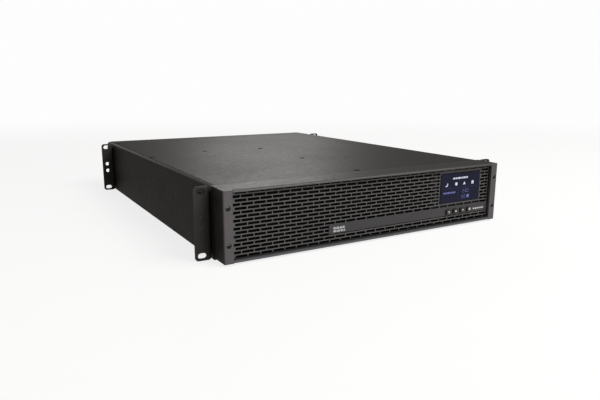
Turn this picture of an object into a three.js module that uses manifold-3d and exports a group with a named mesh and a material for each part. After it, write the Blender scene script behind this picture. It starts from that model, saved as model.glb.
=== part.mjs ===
// Rack-mount uninterruptible power supply, 2U high, 19-inch front, built as separate sheet-metal,
// moulded and electrical pieces. Millimetres, +Z up, the front looks towards -Y, +X is the right
// side seen from the front. Origin: centre of the chassis underside.
//
// Inside the model the y value "from the front" is measured from the front face of the bezel
// (0 at the bezel front, positive towards the rear); the outer group moves it to the origin.
import * as THREE from "three";
import { mergeVertices } from "three/addons/utils/BufferGeometryUtils.js";
import Module from "manifold-3d";

// ---------------------------------------------------------------- driving dimensions
const FRONT_TO_ORIGIN = 300; // bezel front face to the origin
const CHASSIS_HALF_W = 220.5; // chassis body half width (441 over the side walls)
const CHASSIS_H = 87.7; // underside to top of lid (2U less clearance)
const CHASSIS_FRONT = 29.5; // front edge of the sheet-metal body
const DEPTH = 585.4; // bezel front to rear edge of the lid
const SHEET = 1.2; // sheet steel
const GAP = 0.3; // clearance between neighbouring pieces
const EDGE_BEVEL = 4.6; // rolled upper edge of the side walls

const BEZEL_HALF_W = 219.3;
const BEZEL_Z0 = 2.2;
const BEZEL_Z1 = 87.1;
const BEZEL_DEPTH = 28.5; // side walls of the bezel
const BEZEL_TOP_DEPTH = 37.8; // the top skin reaches further back over the chassis
const BEZEL_SKIN = 1.9;
const POST_INNER = 207.5; // end caps run from here to the bezel's edge
const GRILLE_FRONT = 5.7; // grille is recessed behind the end caps
const GRILLE_T = 3.0;
const BEZEL_SCREW_X = 213.6;
const BEZEL_SCREW_Z = [23, 66.4];

const BAND_X0 = -76.5; // smooth strip across the grille
const BAND_Z0 = 17.2;
const BAND_Z1 = 30;
const DISPLAY = { x0: 111, x1: 188.7, z0: 35.4, z1: 78 };
const BUTTON_X = [127.4, 141.2, 155.0, 168.8];
const BUTTON_Z = 22.6;
const BUTTON_W = 8.4;
const BUTTON_H = 6.8;
const BUTTON_FRONT = 2.2;

const EAR_OUTER = 241.3; // 482.6 over the rack ears
const EAR_T = 2.0;
const EAR_H = 88.0;
const EAR_LEG = 40;
const EAR_FRONT_Y = 34.2; // front pair
const EAR_REAR_Y = 536.4; // rear pair
const EAR_HOLE_X = 232.7;
const EAR_SLOT_Z = [5.95, 82.15]; // open-width slots, top and bottom
const EAR_ROUND_Z = [37.7, 50.4];
const EAR_LEG_Z = [5.5, 80]; // the leg is shorter than the flange at both ends

const DIVIDER_X = -11.5; // wall between battery bay and electronics
const BAY_X0 = -211.5;
const BAY_X1 = -13.0;
const TRAY_REAR = 492;
const BATTERY = { w: 94, l: 151, h: 65 };

const FAN_SIZE = 80;
const FAN_T = 25;
const FAN_X = [78, 165];
const FAN_Z = 43.4;
const REAR_PANEL_Y = 582.7; // inner face of the rear panel

// ---------------------------------------------------------------- solids and booleans
const wasm = await Module();
wasm.setup();

function toSolid(geometry) {
  const g = geometry.clone();
  g.deleteAttribute("normal");
  g.deleteAttribute("uv");
  const m = mergeVertices(g, 1e-4);
  return new wasm.Manifold(
    new wasm.Mesh({
      numProp: 3,
      vertProperties: new Float32Array(m.attributes.position.array),
      triVerts: new Uint32Array(m.index.array),
    }),
  );
}
function toGeometry(manifold) {
  const m = manifold.getMesh();
  const g = new THREE.BufferGeometry();
  g.setAttribute("position", new THREE.BufferAttribute(new Float32Array(m.vertProperties), 3));
  g.setIndex(new THREE.BufferAttribute(new Uint32Array(m.triVerts), 1));
  g.computeVertexNormals();
  return g;
}
// join(a, b, ...) and cut(a, b, ...) take and return BufferGeometry
const join = (...list) => toGeometry(list.map(toSolid).reduce((a, b) => a.add(b)));
const cut = (first, ...rest) => toGeometry(rest.map(toSolid).reduce((a, b) => a.subtract(b), toSolid(first)));

// ---------------------------------------------------------------- shape helpers
function box(x0, x1, y0, y1, z0, z1) {
  const g = new THREE.BoxGeometry(x1 - x0, y1 - y0, z1 - z0);
  g.translate((x0 + x1) / 2, (y0 + y1) / 2, (z0 + z1) / 2);
  return g;
}
function shapeOf(points) {
  return new THREE.Shape(points.map(([a, b]) => new THREE.Vector2(a, b)));
}
const BASIS = {
  z: new THREE.Matrix4(),
  y: new THREE.Matrix4().makeBasis(new THREE.Vector3(1, 0, 0), new THREE.Vector3(0, 0, 1), new THREE.Vector3(0, -1, 0)),
  x: new THREE.Matrix4().makeBasis(new THREE.Vector3(0, 1, 0), new THREE.Vector3(0, 0, 1), new THREE.Vector3(1, 0, 0)),
};
// prism("y", outline or shape in (x, z), from, to): a straight extrusion between two planes
function prism(axis, outline, from, to) {
  const shape = Array.isArray(outline) ? shapeOf(outline) : outline;
  const g = new THREE.ExtrudeGeometry(shape, { depth: to - from, bevelEnabled: false, curveSegments: 5 });
  g.applyMatrix4(BASIS[axis]);
  if (axis === "y") g.translate(0, to, 0);
  if (axis === "x") g.translate(from, 0, 0);
  if (axis === "z") g.translate(0, 0, from);
  return g;
}
function rod(axis, cx, cy, cz, r, length, segments = 16) {
  // centre of the first end at (cx, cy, cz), running along +axis
  const g = new THREE.CylinderGeometry(r, r, length, segments);
  if (axis === "x") g.rotateZ(-Math.PI / 2);
  if (axis === "z") g.rotateX(Math.PI / 2);
  const d = length / 2;
  g.translate(cx + (axis === "x" ? d : 0), cy + (axis === "y" ? d : 0), cz + (axis === "z" ? d : 0));
  return g;
}
const mirrorX = (pts) => pts.map(([x, y]) => [-x, y]).reverse();

// ---------------------------------------------------------------- finishes
const finish = {
  powder: { color: 0x2f2c2a, roughness: 0.62, metalness: 0.25 },
  bezel: { color: 0x3a3836, roughness: 0.55, metalness: 0.15 },
  cap: { color: 0x4b484b, roughness: 0.5, metalness: 0.3 },
  grille: { color: 0x33302e, roughness: 0.5, metalness: 0.15 },
  zinc: { color: 0xa9aaa8, roughness: 0.45, metalness: 0.9 },
  blackPlastic: { color: 0x151414, roughness: 0.6, metalness: 0 },
  lens: { color: 0x0a0d1c, roughness: 0.12, metalness: 0 },
  board: { color: 0x1d4a2c, roughness: 0.5, metalness: 0 },
  aluminium: { color: 0xb9babc, roughness: 0.4, metalness: 0.95 },
  steelDark: { color: 0x1c1b1a, roughness: 0.4, metalness: 0.8 },
  copper: { color: 0xa2572c, roughness: 0.35, metalness: 0.9 },
  battery: { color: 0x1a1b1d, roughness: 0.55, metalness: 0 },
  sleeve: { color: 0x1b2c52, roughness: 0.35, metalness: 0 },
  redPlastic: { color: 0x8c1d17, roughness: 0.5, metalness: 0 },
  greyPlastic: { color: 0x8b8d8f, roughness: 0.55, metalness: 0 },
  button: { color: 0x262524, roughness: 0.45, metalness: 0 },
};

const ups = new THREE.Group();
const body = new THREE.Group();
body.position.set(0, -FRONT_TO_ORIGIN, 0);
ups.add(body);

function piece(name, geometry, look, into = body) {
  const mesh = new THREE.Mesh(geometry, new THREE.MeshStandardMaterial(finish[look]));
  mesh.name = name;
  into.add(mesh);
  return mesh;
}

// ================================================================ sheet-metal body
// Base pan: floor and both side walls folded from one sheet, upper edges rolled inwards at 45
// degrees into a flange that the lid lies on.
const W = CHASSIS_HALF_W;
const flangeTop = CHASSIS_H - SHEET - GAP; // lid rests here
const bevelX = W - EDGE_BEVEL;
const bevelZ = CHASSIS_H - 0.4;
const panOuter = [
  [-W, 0], [W, 0], [W, bevelZ - EDGE_BEVEL], [bevelX, bevelZ], [bevelX - 0.9, bevelZ],
  [bevelX - 0.9, flangeTop], [bevelX - 10, flangeTop], [bevelX - 10, flangeTop - SHEET],
  [bevelX - 1.0, flangeTop - SHEET], [W - SHEET, bevelZ - EDGE_BEVEL - 0.6], [W - SHEET, SHEET],
  [-W + SHEET, SHEET], [-W + SHEET, bevelZ - EDGE_BEVEL - 0.6], [-bevelX + 1.0, flangeTop - SHEET],
  [-bevelX + 10, flangeTop - SHEET], [-bevelX + 10, flangeTop], [-bevelX + 0.9, flangeTop],
  [-bevelX + 0.9, bevelZ], [-bevelX, bevelZ], [-W, bevelZ - EDGE_BEVEL],
];
piece("base_pan", cut(
  prism("y", panOuter, CHASSIS_FRONT, DEPTH),
  // front edge stepped down so the bezel's top skin can lie over it
  box(-W - 1, W + 1, CHASSIS_FRONT - 1, BEZEL_TOP_DEPTH + 0.4, BEZEL_Z1 - BEZEL_SKIN - GAP, 95),
  // rear ends of the flanges stopped short of the lid's rear lip
  box(-bevelX + 0.5, bevelX - 0.5, REAR_PANEL_Y - GAP, DEPTH + 1, 82, 95),
), "powder");

// Lid: flat sheet with a lip turned down over the rear panel; countersunk screw holes.
const lidX = bevelX - 1.3;
const lidProfile = [
  [BEZEL_TOP_DEPTH + 0.5, CHASSIS_H - SHEET], [DEPTH - SHEET, CHASSIS_H - SHEET], [DEPTH - SHEET, 82.4],
  [DEPTH, 82.4], [DEPTH, CHASSIS_H], [BEZEL_TOP_DEPTH + 0.5, CHASSIS_H],
];
const LID_HOLES = [[-5, 44], [-5, 186], [-5, 331], [-109, 345], [-208, 305], [-208, 536], [208, 305], [208, 536]];
piece("top_cover", cut(
  prism("x", lidProfile, -lidX, lidX),
  ...LID_HOLES.map(([x, y]) => rod("z", x, y, CHASSIS_H - 3, 1.9, 6, 8)),
), "powder");

// Front plate behind the bezel: open over the battery bay, vented over the electronics, with
// holes for the four bezel screws.
const fx = W - SHEET - GAP;
const frontPlate = prism("y", [
  [-fx, SHEET + GAP], [fx, SHEET + GAP], [fx, 81.2], [fx - 5.2, 84.3], [-fx + 5.2, 84.3], [-fx, 81.2],
], 30, 30 + SHEET);
const vents = [];
for (const x0 of [8, 56]) for (const z0 of [10, 34, 58]) vents.push(box(x0, x0 + 40, 28, 33, z0, z0 + 18));
vents.push(box(108, 184, 28, 33, 12, 40), box(108, 184, 28, 33, 46, 78));
piece("front_plate", cut(
  frontPlate,
  box(BAY_X0, BAY_X1, 28, 33, 0, 82),
  ...vents,
  ...[-1, 1].flatMap((s) => BEZEL_SCREW_Z.map((z) => rod("y", s * BEZEL_SCREW_X, 28, z, 2.3, 5, 12))),
), "zinc");

// Divider between battery bay and electronics, folded as a channel; its upper flange carries
// the middle row of lid screws.
const D = DIVIDER_X;
piece("bay_divider", prism("y", [
  [D, SHEET + GAP], [D + 14, SHEET + GAP], [D + 14, 2 * SHEET + GAP], [D + SHEET, 2 * SHEET + GAP],
  [D + SHEET, flangeTop - SHEET], [D + 14, flangeTop - SHEET], [D + 14, flangeTop], [D, flangeTop],
], BEZEL_TOP_DEPTH + 0.5, 552), "zinc");

// Rear panel with every cut-out.
const OUTLET = [{ z0: 50.5, z1: 80.5 }, { z0: 17.5, z1: 47.5 }];
const OUTLET_X = [-208, -112];
const INLET = { x0: -104, x1: -56, z0: 46, z1: 80 };
const BREAKER_X = [-93, -67];
const BREAKER_Z = 27;
const SLOT = { x0: -50, x1: 30, z0: 54, z1: 80 };
const COMM = { x0: -50, x1: 30, z0: 33, z1: 50 };
const EXPANSION = { x0: -50, x1: 0, z0: 7, z1: 28 };
const STUD = { x: 17, z: 18 };
const y0 = REAR_PANEL_Y, y1 = REAR_PANEL_Y + SHEET;
const panelCuts = [];
for (const x of FAN_X) panelCuts.push(rod("y", x, y0 - 2, FAN_Z, 37, 6, 24));
for (const o of OUTLET) panelCuts.push(box(OUTLET_X[0] + 2, OUTLET_X[1] - 2, y0 - 2, y1 + 2, o.z0 + 2, o.z1 - 2));
panelCuts.push(box(INLET.x0 + 4, INLET.x1 - 4, y0 - 2, y1 + 2, INLET.z0 + 3, INLET.z1 - 3));
for (const x of BREAKER_X) panelCuts.push(rod("y", x, y0 - 2, BREAKER_Z, 7.8, 6, 16));
panelCuts.push(box(SLOT.x0 + 9, SLOT.x1 - 9, y0 - 2, y1 + 2, SLOT.z0 + 2.5, SLOT.z1 - 2.5));
for (const s of [SLOT.x0 + 4.5, SLOT.x1 - 4.5]) panelCuts.push(rod("y", s, y0 - 2, 67, 2.1, 6, 10));
panelCuts.push(box(COMM.x0 + 2, COMM.x1 - 2, y0 - 2, y1 + 2, COMM.z0 + 2, COMM.z1 - 2));
panelCuts.push(box(EXPANSION.x0 + 2, EXPANSION.x1 - 2, y0 - 2, y1 + 2, EXPANSION.z0 + 2, EXPANSION.z1 - 2));
panelCuts.push(rod("y", STUD.x, y0 - 2, STUD.z, 2.9, 6, 10));
piece("rear_panel", cut(box(-W + SHEET + GAP, W - SHEET - GAP, y0, y1, SHEET + GAP, 81.9), ...panelCuts), "powder");

// ================================================================ rack ears
// Angle brackets with a small bend radius; the flange carries two slots and two round holes.
const EAR_IN = W + GAP;
function ear(side, yFace) {
  const a = EAR_IN, b = EAR_IN + EAR_T;
  let outline = [
    [a, 3], [a + 0.9, 0.9], [a + 3, 0], [EAR_OUTER, 0], [EAR_OUTER, EAR_T], [b + 1.4, EAR_T], [b + 0.4, EAR_T + 0.5],
    [b, EAR_T + 1.5], [b, EAR_LEG], [a, EAR_LEG],
  ].map(([x, y]) => [x, y + yFace]);
  if (side < 0) outline = mirrorX(outline);
  const cuts = [];
  const c = 4.5;
  // rounded outer corners of the flange
  for (const [zc, dz] of [[EAR_H - c, 1], [c, -1]]) {
    const pts = [];
    for (let i = 0; i <= 3; i++) {
      const t = (i / 3) * Math.PI / 2;
      pts.push([side * (EAR_OUTER - c + c * Math.sin(t)), zc + dz * c * Math.cos(t)]);
    }
    pts.push([side * (EAR_OUTER + 2), zc], [side * (EAR_OUTER + 2), zc + dz * (c + 2)], [side * (EAR_OUTER - c), zc + dz * (c + 2)]);
    const area = THREE.ShapeUtils.area(pts.map(([x, y]) => new THREE.Vector2(x, y)));
    cuts.push(prism("y", area > 0 ? pts : pts.slice().reverse(), yFace - 1, yFace + EAR_T + 1));
  }
  for (const z of EAR_SLOT_Z) {
    const s = new THREE.Shape();
    const h = 3.3, l = 2.1, x = side * EAR_HOLE_X;
    s.absarc(x + l, z, h, -Math.PI / 2, Math.PI / 2, false);
    s.absarc(x - l, z, h, Math.PI / 2, (3 * Math.PI) / 2, false);
    cuts.push(prism("y", s, yFace - 1, yFace + EAR_T + 1));
  }
  for (const z of EAR_ROUND_Z) cuts.push(rod("y", side * EAR_HOLE_X, yFace - 1, z, 3.3, EAR_T + 2, 12));
  // leg shorter than the flange, inner corners of the flange rounded
  const legX = [Math.min(side * (a - 2), side * (b + 4)), Math.max(side * (a - 2), side * (b + 4))];
  cuts.push(box(legX[0], legX[1], yFace + EAR_T, yFace + EAR_LEG + 2, -1, EAR_LEG_Z[0]));
  cuts.push(box(legX[0], legX[1], yFace + EAR_T, yFace + EAR_LEG + 2, EAR_LEG_Z[1], EAR_H + 1));
  for (const [zc, dz] of [[EAR_H - c, 1], [c, -1]]) {
    const pts = [];
    for (let i = 0; i <= 3; i++) {
      const t = (i / 3) * Math.PI / 2;
      pts.push([side * (a + c - c * Math.sin(t)), zc + dz * c * Math.cos(t)]);
    }
    pts.push([side * (a - 2), zc], [side * (a - 2), zc + dz * (c + 2)], [side * (a + c), zc + dz * (c + 2)]);
    const area = THREE.ShapeUtils.area(pts.map(([x, y]) => new THREE.Vector2(x, y)));
    cuts.push(prism("y", area > 0 ? pts : pts.slice().reverse(), yFace - 1, yFace + EAR_T + 1));
  }
  // screw holes in the leg
  for (const [dy, z] of [[14, 16], [14, 72], [30, 16], [30, 72]])
    cuts.push(rod("x", Math.min(side * (a - 1), side * (b + 1)), yFace + dy, z, 2.0, EAR_T + 2, 8));
  return cut(prism("z", outline, 0, EAR_H), ...cuts);
}
piece("front_ear_left", ear(-1, EAR_FRONT_Y), "powder");
piece("front_ear_right", ear(1, EAR_FRONT_Y), "powder");
piece("rear_ear_left", ear(-1, EAR_REAR_Y), "powder");
piece("rear_ear_right", ear(1, EAR_REAR_Y), "powder");

// ================================================================ bezel
const BW = BEZEL_HALF_W;
{
  const side = (s) => [
    box(Math.min(s * BW, s * (BW - 2.2)), Math.max(s * BW, s * (BW - 2.2)), 0, BEZEL_DEPTH, BEZEL_Z0, BEZEL_Z1),
    box(Math.min(s * BW, s * POST_INNER), Math.max(s * BW, s * POST_INNER), 0, GRILLE_FRONT - 0.3, BEZEL_Z0, BEZEL_Z1),
    // screw bosses
    ...BEZEL_SCREW_Z.map((z) => rod("y", s * BEZEL_SCREW_X, 1, z, 4.4, BEZEL_DEPTH - 1, 12)),
  ];
  const bottomProfile = [
    [0, BEZEL_Z0], [BEZEL_DEPTH, BEZEL_Z0], [BEZEL_DEPTH, BEZEL_Z0 + BEZEL_SKIN], [3.2, BEZEL_Z0 + BEZEL_SKIN],
    [2.4, BEZEL_Z0 + 5.9], [0.6, BEZEL_Z0 + 5.9], [0, BEZEL_Z0 + 5.3],
  ];
  const topProfile = [
    [0, BEZEL_Z1 - 3.1], [2.4, BEZEL_Z1 - 3.1], [2.4, BEZEL_Z1 - BEZEL_SKIN],
    [BEZEL_TOP_DEPTH, BEZEL_Z1 - BEZEL_SKIN], [BEZEL_TOP_DEPTH, BEZEL_Z1], [0.8, BEZEL_Z1],
    [0, BEZEL_Z1 - 0.8],
  ];
  const frame = join(
    prism("x", bottomProfile, -BW, BW),
    prism("x", topProfile, -BW, BW),
    ...side(-1), ...side(1),
  );
  piece("bezel_frame", cut(
    frame,
    ...[-1, 1].flatMap((s) => BEZEL_SCREW_Z.flatMap((z) => [
      rod("y", s * BEZEL_SCREW_X, -1, z, 2.1, BEZEL_DEPTH + 2, 10),
      rod("y", s * BEZEL_SCREW_X, -1, z, 3.6, 4.0, 12),
    ])),
    // finger recess near the top of the left side, for lifting the bezel off
    box(-BW - 1, -BW + 1.2, 15, 23, 66, 78),
  ), "bezel");
}

// Grille insert: running-bond rectangular slots, a smooth strip, the display window and the
// four button openings.
{
  const gx = POST_INNER - 0.3, gz0 = BEZEL_Z0 + BEZEL_SKIN + 0.3, gz1 = BEZEL_Z1 - BEZEL_SKIN - 0.3;
  const openings = [];
  const open = (x0, x1, z0, z1) => openings.push(box(x0, x1, GRILLE_FRONT - 1, GRILLE_FRONT + GRILLE_T + 1, z0, z1));
  const keep = [
    { x0: BAND_X0 - 1.5, x1: gx, z0: BAND_Z0 - 1, z1: BAND_Z1 + 1 },
    { x0: DISPLAY.x0 - 2.2, x1: DISPLAY.x1 + 2.2, z0: DISPLAY.z0 - 2.2, z1: DISPLAY.z1 + 2.2 },
  ];
  const pitchX = 33.2, pitchZ = 9.4, slotH = 6.9, bar = 3.0;
  for (let row = 0; row < 8; row++) {
    const zc = 10.2 + row * pitchZ;
    const start = -gx + 3 - (row % 2 ? pitchX / 2 : 0);
    for (let x = start; x < gx; x += pitchX) {
      const x0 = Math.max(x, -gx + 3), x1 = Math.min(x + pitchX - bar, gx - 3);
      const z0 = zc - slotH / 2, z1 = zc + slotH / 2;
      if (x1 - x0 < 8) continue;
      if (keep.some((k) => x1 > k.x0 && x0 < k.x1 && z1 > k.z0 && z0 < k.z1)) continue;
      open(x0, x1, z0, z1);
    }
  }
  open(DISPLAY.x0 - 0.5, DISPLAY.x1 + 0.5, DISPLAY.z0 - 0.5, DISPLAY.z1 + 0.5);
  for (const x of BUTTON_X)
    open(x - BUTTON_W / 2 - 0.4, x + BUTTON_W / 2 + 0.4, BUTTON_Z - BUTTON_H / 2 - 0.4, BUTTON_Z + BUTTON_H / 2 + 0.4);
  piece("bezel_grille", cut(box(-gx, gx, GRILLE_FRONT, GRILLE_FRONT + GRILLE_T, gz0, gz1), ...openings), "grille");
}

// Four captive screws, heads sunk in the end caps.
{
  const names = { "-1": "left", 1: "right" };
  for (const s of [-1, 1])
    BEZEL_SCREW_Z.forEach((z, i) => {
      const screw = new THREE.LatheGeometry(
        [[0, 0], [1.6, 0], [1.6, 31], [3.2, 31], [3.2, 32.6], [2.6, 33.2], [0, 33.2]].map(([r, h]) => new THREE.Vector2(r, h)), 12);
      const m = piece(`bezel_screw_${names[s]}_${i ? "upper" : "lower"}`, screw, "steelDark");
      // the lathe runs along +Y with the head at its far end: turn the head to the front
      m.rotation.x = Math.PI;
      m.position.set(s * BEZEL_SCREW_X, 33.6, z);
    });
}

// ================================================================ display and buttons
const controls = new THREE.Group();
body.add(controls);
const DX = DISPLAY;
piece("lcd_lens", box(DX.x0, DX.x1, 4.6, 7.0, DX.z0, DX.z1), "lens", controls);
piece("lcd_module", box(DX.x0 + 1, DX.x1 - 1, 7.3, 12.8, DX.z0 + 1, DX.z1 - 1), "blackPlastic", controls);
piece("control_housing", cut(
  box(101, 191, 9.1, 26.5, 15, 82.5),
  box(103, 189, 13.5, 28, 17, 80.5), // inside, open to the rear
  box(DX.x0 + 0.5, DX.x1 - 0.5, 8, 15, DX.z0 + 0.5, DX.z1 - 0.5), // display opening
  ...BUTTON_X.map((x) => box(x - BUTTON_W / 2 - 0.3, x + BUTTON_W / 2 + 0.3, 8, 15, BUTTON_Z - BUTTON_H / 2 - 0.3, BUTTON_Z + BUTTON_H / 2 + 0.3)),
), "blackPlastic", controls);
piece("control_board", box(103.5, 188.5, 19.5, 21.1, 17.5, 80), "board", controls);
BUTTON_X.forEach((x, i) => {
  const hw = BUTTON_W / 2, hh = BUTTON_H / 2, f = BUTTON_FRONT;
  piece(`button_${i + 1}`, join(
    prism("z", [[x - hw, f + 0.6], [x - hw + 0.6, f], [x + hw - 0.6, f], [x + hw, f + 0.6], [x + hw, 14.2], [x - hw, 14.2]], BUTTON_Z - hh, BUTTON_Z + hh),
    box(x - hw - 1.2, x + hw + 1.2, 13.8, 15.2, BUTTON_Z - hh - 1.2, BUTTON_Z + hh + 1.2), // retaining flange
    rod("y", x, 15, BUTTON_Z, 1.6, 2.5, 8), // plunger towards the switch
  ), "button", controls);
});
// flat cable from the control board back to the main board
piece("ribbon_cable", prism("x", [
  [21.5, 60], [21.5, 61], [52, 61], [52.6, 60.4], [66, 10.6], [74, 10.6], [74, 9.9], [65.5, 9.9], [51.8, 60],
], 120, 150), "greyPlastic", controls);

// ================================================================ battery tray
const tray = new THREE.Group();
body.add(tray);
const TX0 = BAY_X0 + 0.6, TX1 = BAY_X1 - 0.6, TZ = SHEET + 0.4;
piece("battery_tray", cut(
  box(TX0, TX1, 30, TRAY_REAR, TZ, 81.6),
  box(TX0 + SHEET, TX1 - SHEET, 30 + SHEET, TRAY_REAR - SHEET, TZ + SHEET, 90),
  box(TX0 - 1, TX1 + 1, 60, TRAY_REAR + 1, 46, 90), // low sides behind the front wall
  box(TX0 + 30, TX1 - 30, TRAY_REAR - 3, TRAY_REAR + 1, 20, 90),
), "zinc", tray);
{
  const { w, l, h } = BATTERY;
  const z0 = TZ + SHEET + 0.3;
  let n = 0;
  for (const row of [0, 1, 2])
    for (const col of [0, 1]) {
      const x0 = col ? TX1 - SHEET - 0.6 - w : TX0 + SHEET + 0.6;
      const yb = 33 + row * (l + 1);
      const inner = col ? x0 : x0 + w; // terminals face the middle
      const s = col ? -1 : 1;
      const block = prism("y", [
        [x0 + 1.5, z0], [x0 + w - 1.5, z0], [x0 + w, z0 + 1.5], [x0 + w, z0 + h - 1.5], [x0 + w - 1.5, z0 + h], [x0 + 1.5, z0 + h],
        [x0, z0 + h - 1.5], [x0, z0 + 1.5],
      ], yb, yb + l);
      const tab = (y) => box(Math.min(inner - s, inner + s * 1.6), Math.max(inner - s, inner + s * 1.6), y, y + 6.3, z0 + 48, z0 + 56);
      n += 1;
      piece(`battery_${n}`, join(block, tab(yb + 14), tab(yb + l - 20)), "battery", tray);
    }
}
// cable pair laid along the middle of the pack, ending behind the connector
{
  const path = new THREE.CatmullRomCurve3([
    new THREE.Vector3(-45, 36, 74), new THREE.Vector3(-60, 48, 74.5), new THREE.Vector3(-100, 70, 74.5),
    new THREE.Vector3(-112.2, 120, 74.5), new THREE.Vector3(-112.2, 300, 74.5), new THREE.Vector3(-112.2, 440, 74.5),
  ]);
  const s = new THREE.Shape();
  s.absellipse(0, 0, 3, 5, 0, Math.PI * 2, false);
  piece("battery_harness", new THREE.ExtrudeGeometry(s, { steps: 14, extrudePath: path, curveSegments: 4, bevelEnabled: false }), "redPlastic", tray);
}
piece("battery_connector", cut(
  box(-68, -24, 13, 29.7, 56, 76),
  box(-65, -47.5, 12, 22, 59, 73),
  box(-44.5, -27, 12, 22, 59, 73),
), "greyPlastic", tray);
{
  const p = new THREE.CurvePath();
  const v = (x, y) => new THREE.Vector3(x, y, 40);
  const pts = [v(-148, 29.6), v(-148, 20), v(-142, 14), v(-82, 14), v(-76, 20), v(-76, 29.6)];
  p.add(new THREE.LineCurve3(pts[0], pts[1]));
  p.add(new THREE.QuadraticBezierCurve3(pts[1], v(-148, 14), pts[2]));
  p.add(new THREE.LineCurve3(pts[2], pts[3]));
  p.add(new THREE.QuadraticBezierCurve3(pts[3], v(-76, 14), pts[4]));
  p.add(new THREE.LineCurve3(pts[4], pts[5]));
  const s = new THREE.Shape();
  s.absarc(0, 0, 2.4, 0, Math.PI * 2, false);
  piece("tray_handle", new THREE.ExtrudeGeometry(s, { steps: 16, extrudePath: p, curveSegments: 4, bevelEnabled: false }), "zinc", tray);
}

// ================================================================ electronics
const inside = new THREE.Group();
body.add(inside);
piece("main_board", join(
  box(4, 214, 62, 520, 8, 9.6),
  ...[[12, 70], [12, 290], [12, 510], [206, 70], [206, 290], [206, 510]].map(([x, y]) => rod("z", x, y, SHEET + GAP, 3, 8, 8)),
), "board", inside);
function heatsink(x0, yA, yB) {
  const z0 = 10, top = 62, fins = 8, pitch = 8.4, t = 2.2;
  const pts = [[x0, z0], [x0 + (fins - 1) * pitch + t, z0]];
  for (let i = fins - 1; i >= 0; i--) {
    const x = x0 + i * pitch;
    pts.push([x + t, top], [x, top]);
    if (i > 0) pts.push([x, z0 + 6], [x - pitch + t, z0 + 6]);
  }
  return prism("y", pts, yA, yB);
}
piece("inverter_heatsink", heatsink(136, 250, 470), "aluminium", inside);
piece("rectifier_heatsink", heatsink(48, 300, 470), "aluminium", inside);
{
  const core = new THREE.TorusGeometry(27, 11, 8, 18);
  core.translate(48, 190, 22);
  piece("filter_choke", core, "copper", inside);
}
piece("output_transformer", join(
  box(30, 100, 90, 102, 10, 62), box(30, 100, 128, 140, 10, 62), box(40, 90, 98, 132, 18, 54),
), "steelDark", inside);
[[150, 110], [188, 110]].forEach(([x, y], i) => {
  piece(`bus_capacitor_${i + 1}`, rod("z", x, y, 9.9, 17, 52, 14), "sleeve", inside);
});

// ================================================================ fans
FAN_X.forEach((cx, i) => {
  const n = i + 1, half = FAN_SIZE / 2;
  const ya = REAR_PANEL_Y - 0.4 - FAN_T, yb = REAR_PANEL_Y - 0.4;
  const strut = (a) => {
    const g = new THREE.BoxGeometry(25, 3, 3);
    g.translate(14 + 12.5, 0, 0);
    g.rotateY(a);
    g.translate(cx, yb - 1.5, FAN_Z);
    return g;
  };
  piece(`fan_frame_${n}`, join(
    cut(
      box(cx - half, cx + half, ya, yb, FAN_Z - half, FAN_Z + half),
      rod("y", cx, ya - 1, FAN_Z, 37.6, FAN_T + 2, 24),
    ),
    rod("y", cx, yb - 3, FAN_Z, 16, 3, 16),
    ...[0.4, 0.4 + Math.PI / 2, 0.4 + Math.PI, 0.4 + 1.5 * Math.PI].map(strut),
  ), "blackPlastic", inside);
  const blades = [];
  for (let k = 0; k < 7; k++) {
    const g = new THREE.BoxGeometry(19.5, 1.4, 20);
    g.rotateX(0.75);
    g.translate(25.4, 0, 0);
    g.rotateY((k / 7) * Math.PI * 2);
    g.translate(cx, ya + 11, FAN_Z);
    blades.push(g);
  }
  piece(`fan_rotor_${n}`, join(rod("y", cx, ya + 1, FAN_Z, 17, 20, 20), ...blades), "blackPlastic", inside);
  const ring = (r0, r1) => {
    const s = new THREE.Shape();
    s.absarc(cx, FAN_Z, r1, 0, Math.PI * 2, false);
    const hole = new THREE.Path();
    hole.absarc(cx, FAN_Z, r0, 0, Math.PI * 2, true);
    s.holes.push(hole);
    const g = new THREE.ExtrudeGeometry(s, { depth: 1.6, bevelEnabled: false, curveSegments: 12 });
    g.applyMatrix4(BASIS.y);
    g.translate(0, y1 + GAP + 1.6, 0);
    return g;
  };
  const bar = (a) => {
    const g = new THREE.BoxGeometry(100, 1.6, 2.4);
    g.rotateY(a);
    g.translate(cx, y1 + GAP + 0.8, FAN_Z);
    return g;
  };
  piece(`fan_guard_${n}`, join(ring(35, 37.2), ring(22, 24), rod("y", cx, y1 + GAP, FAN_Z, 8, 1.6, 14), bar(Math.PI / 4), bar(-Math.PI / 4)), "zinc", inside);
});

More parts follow.
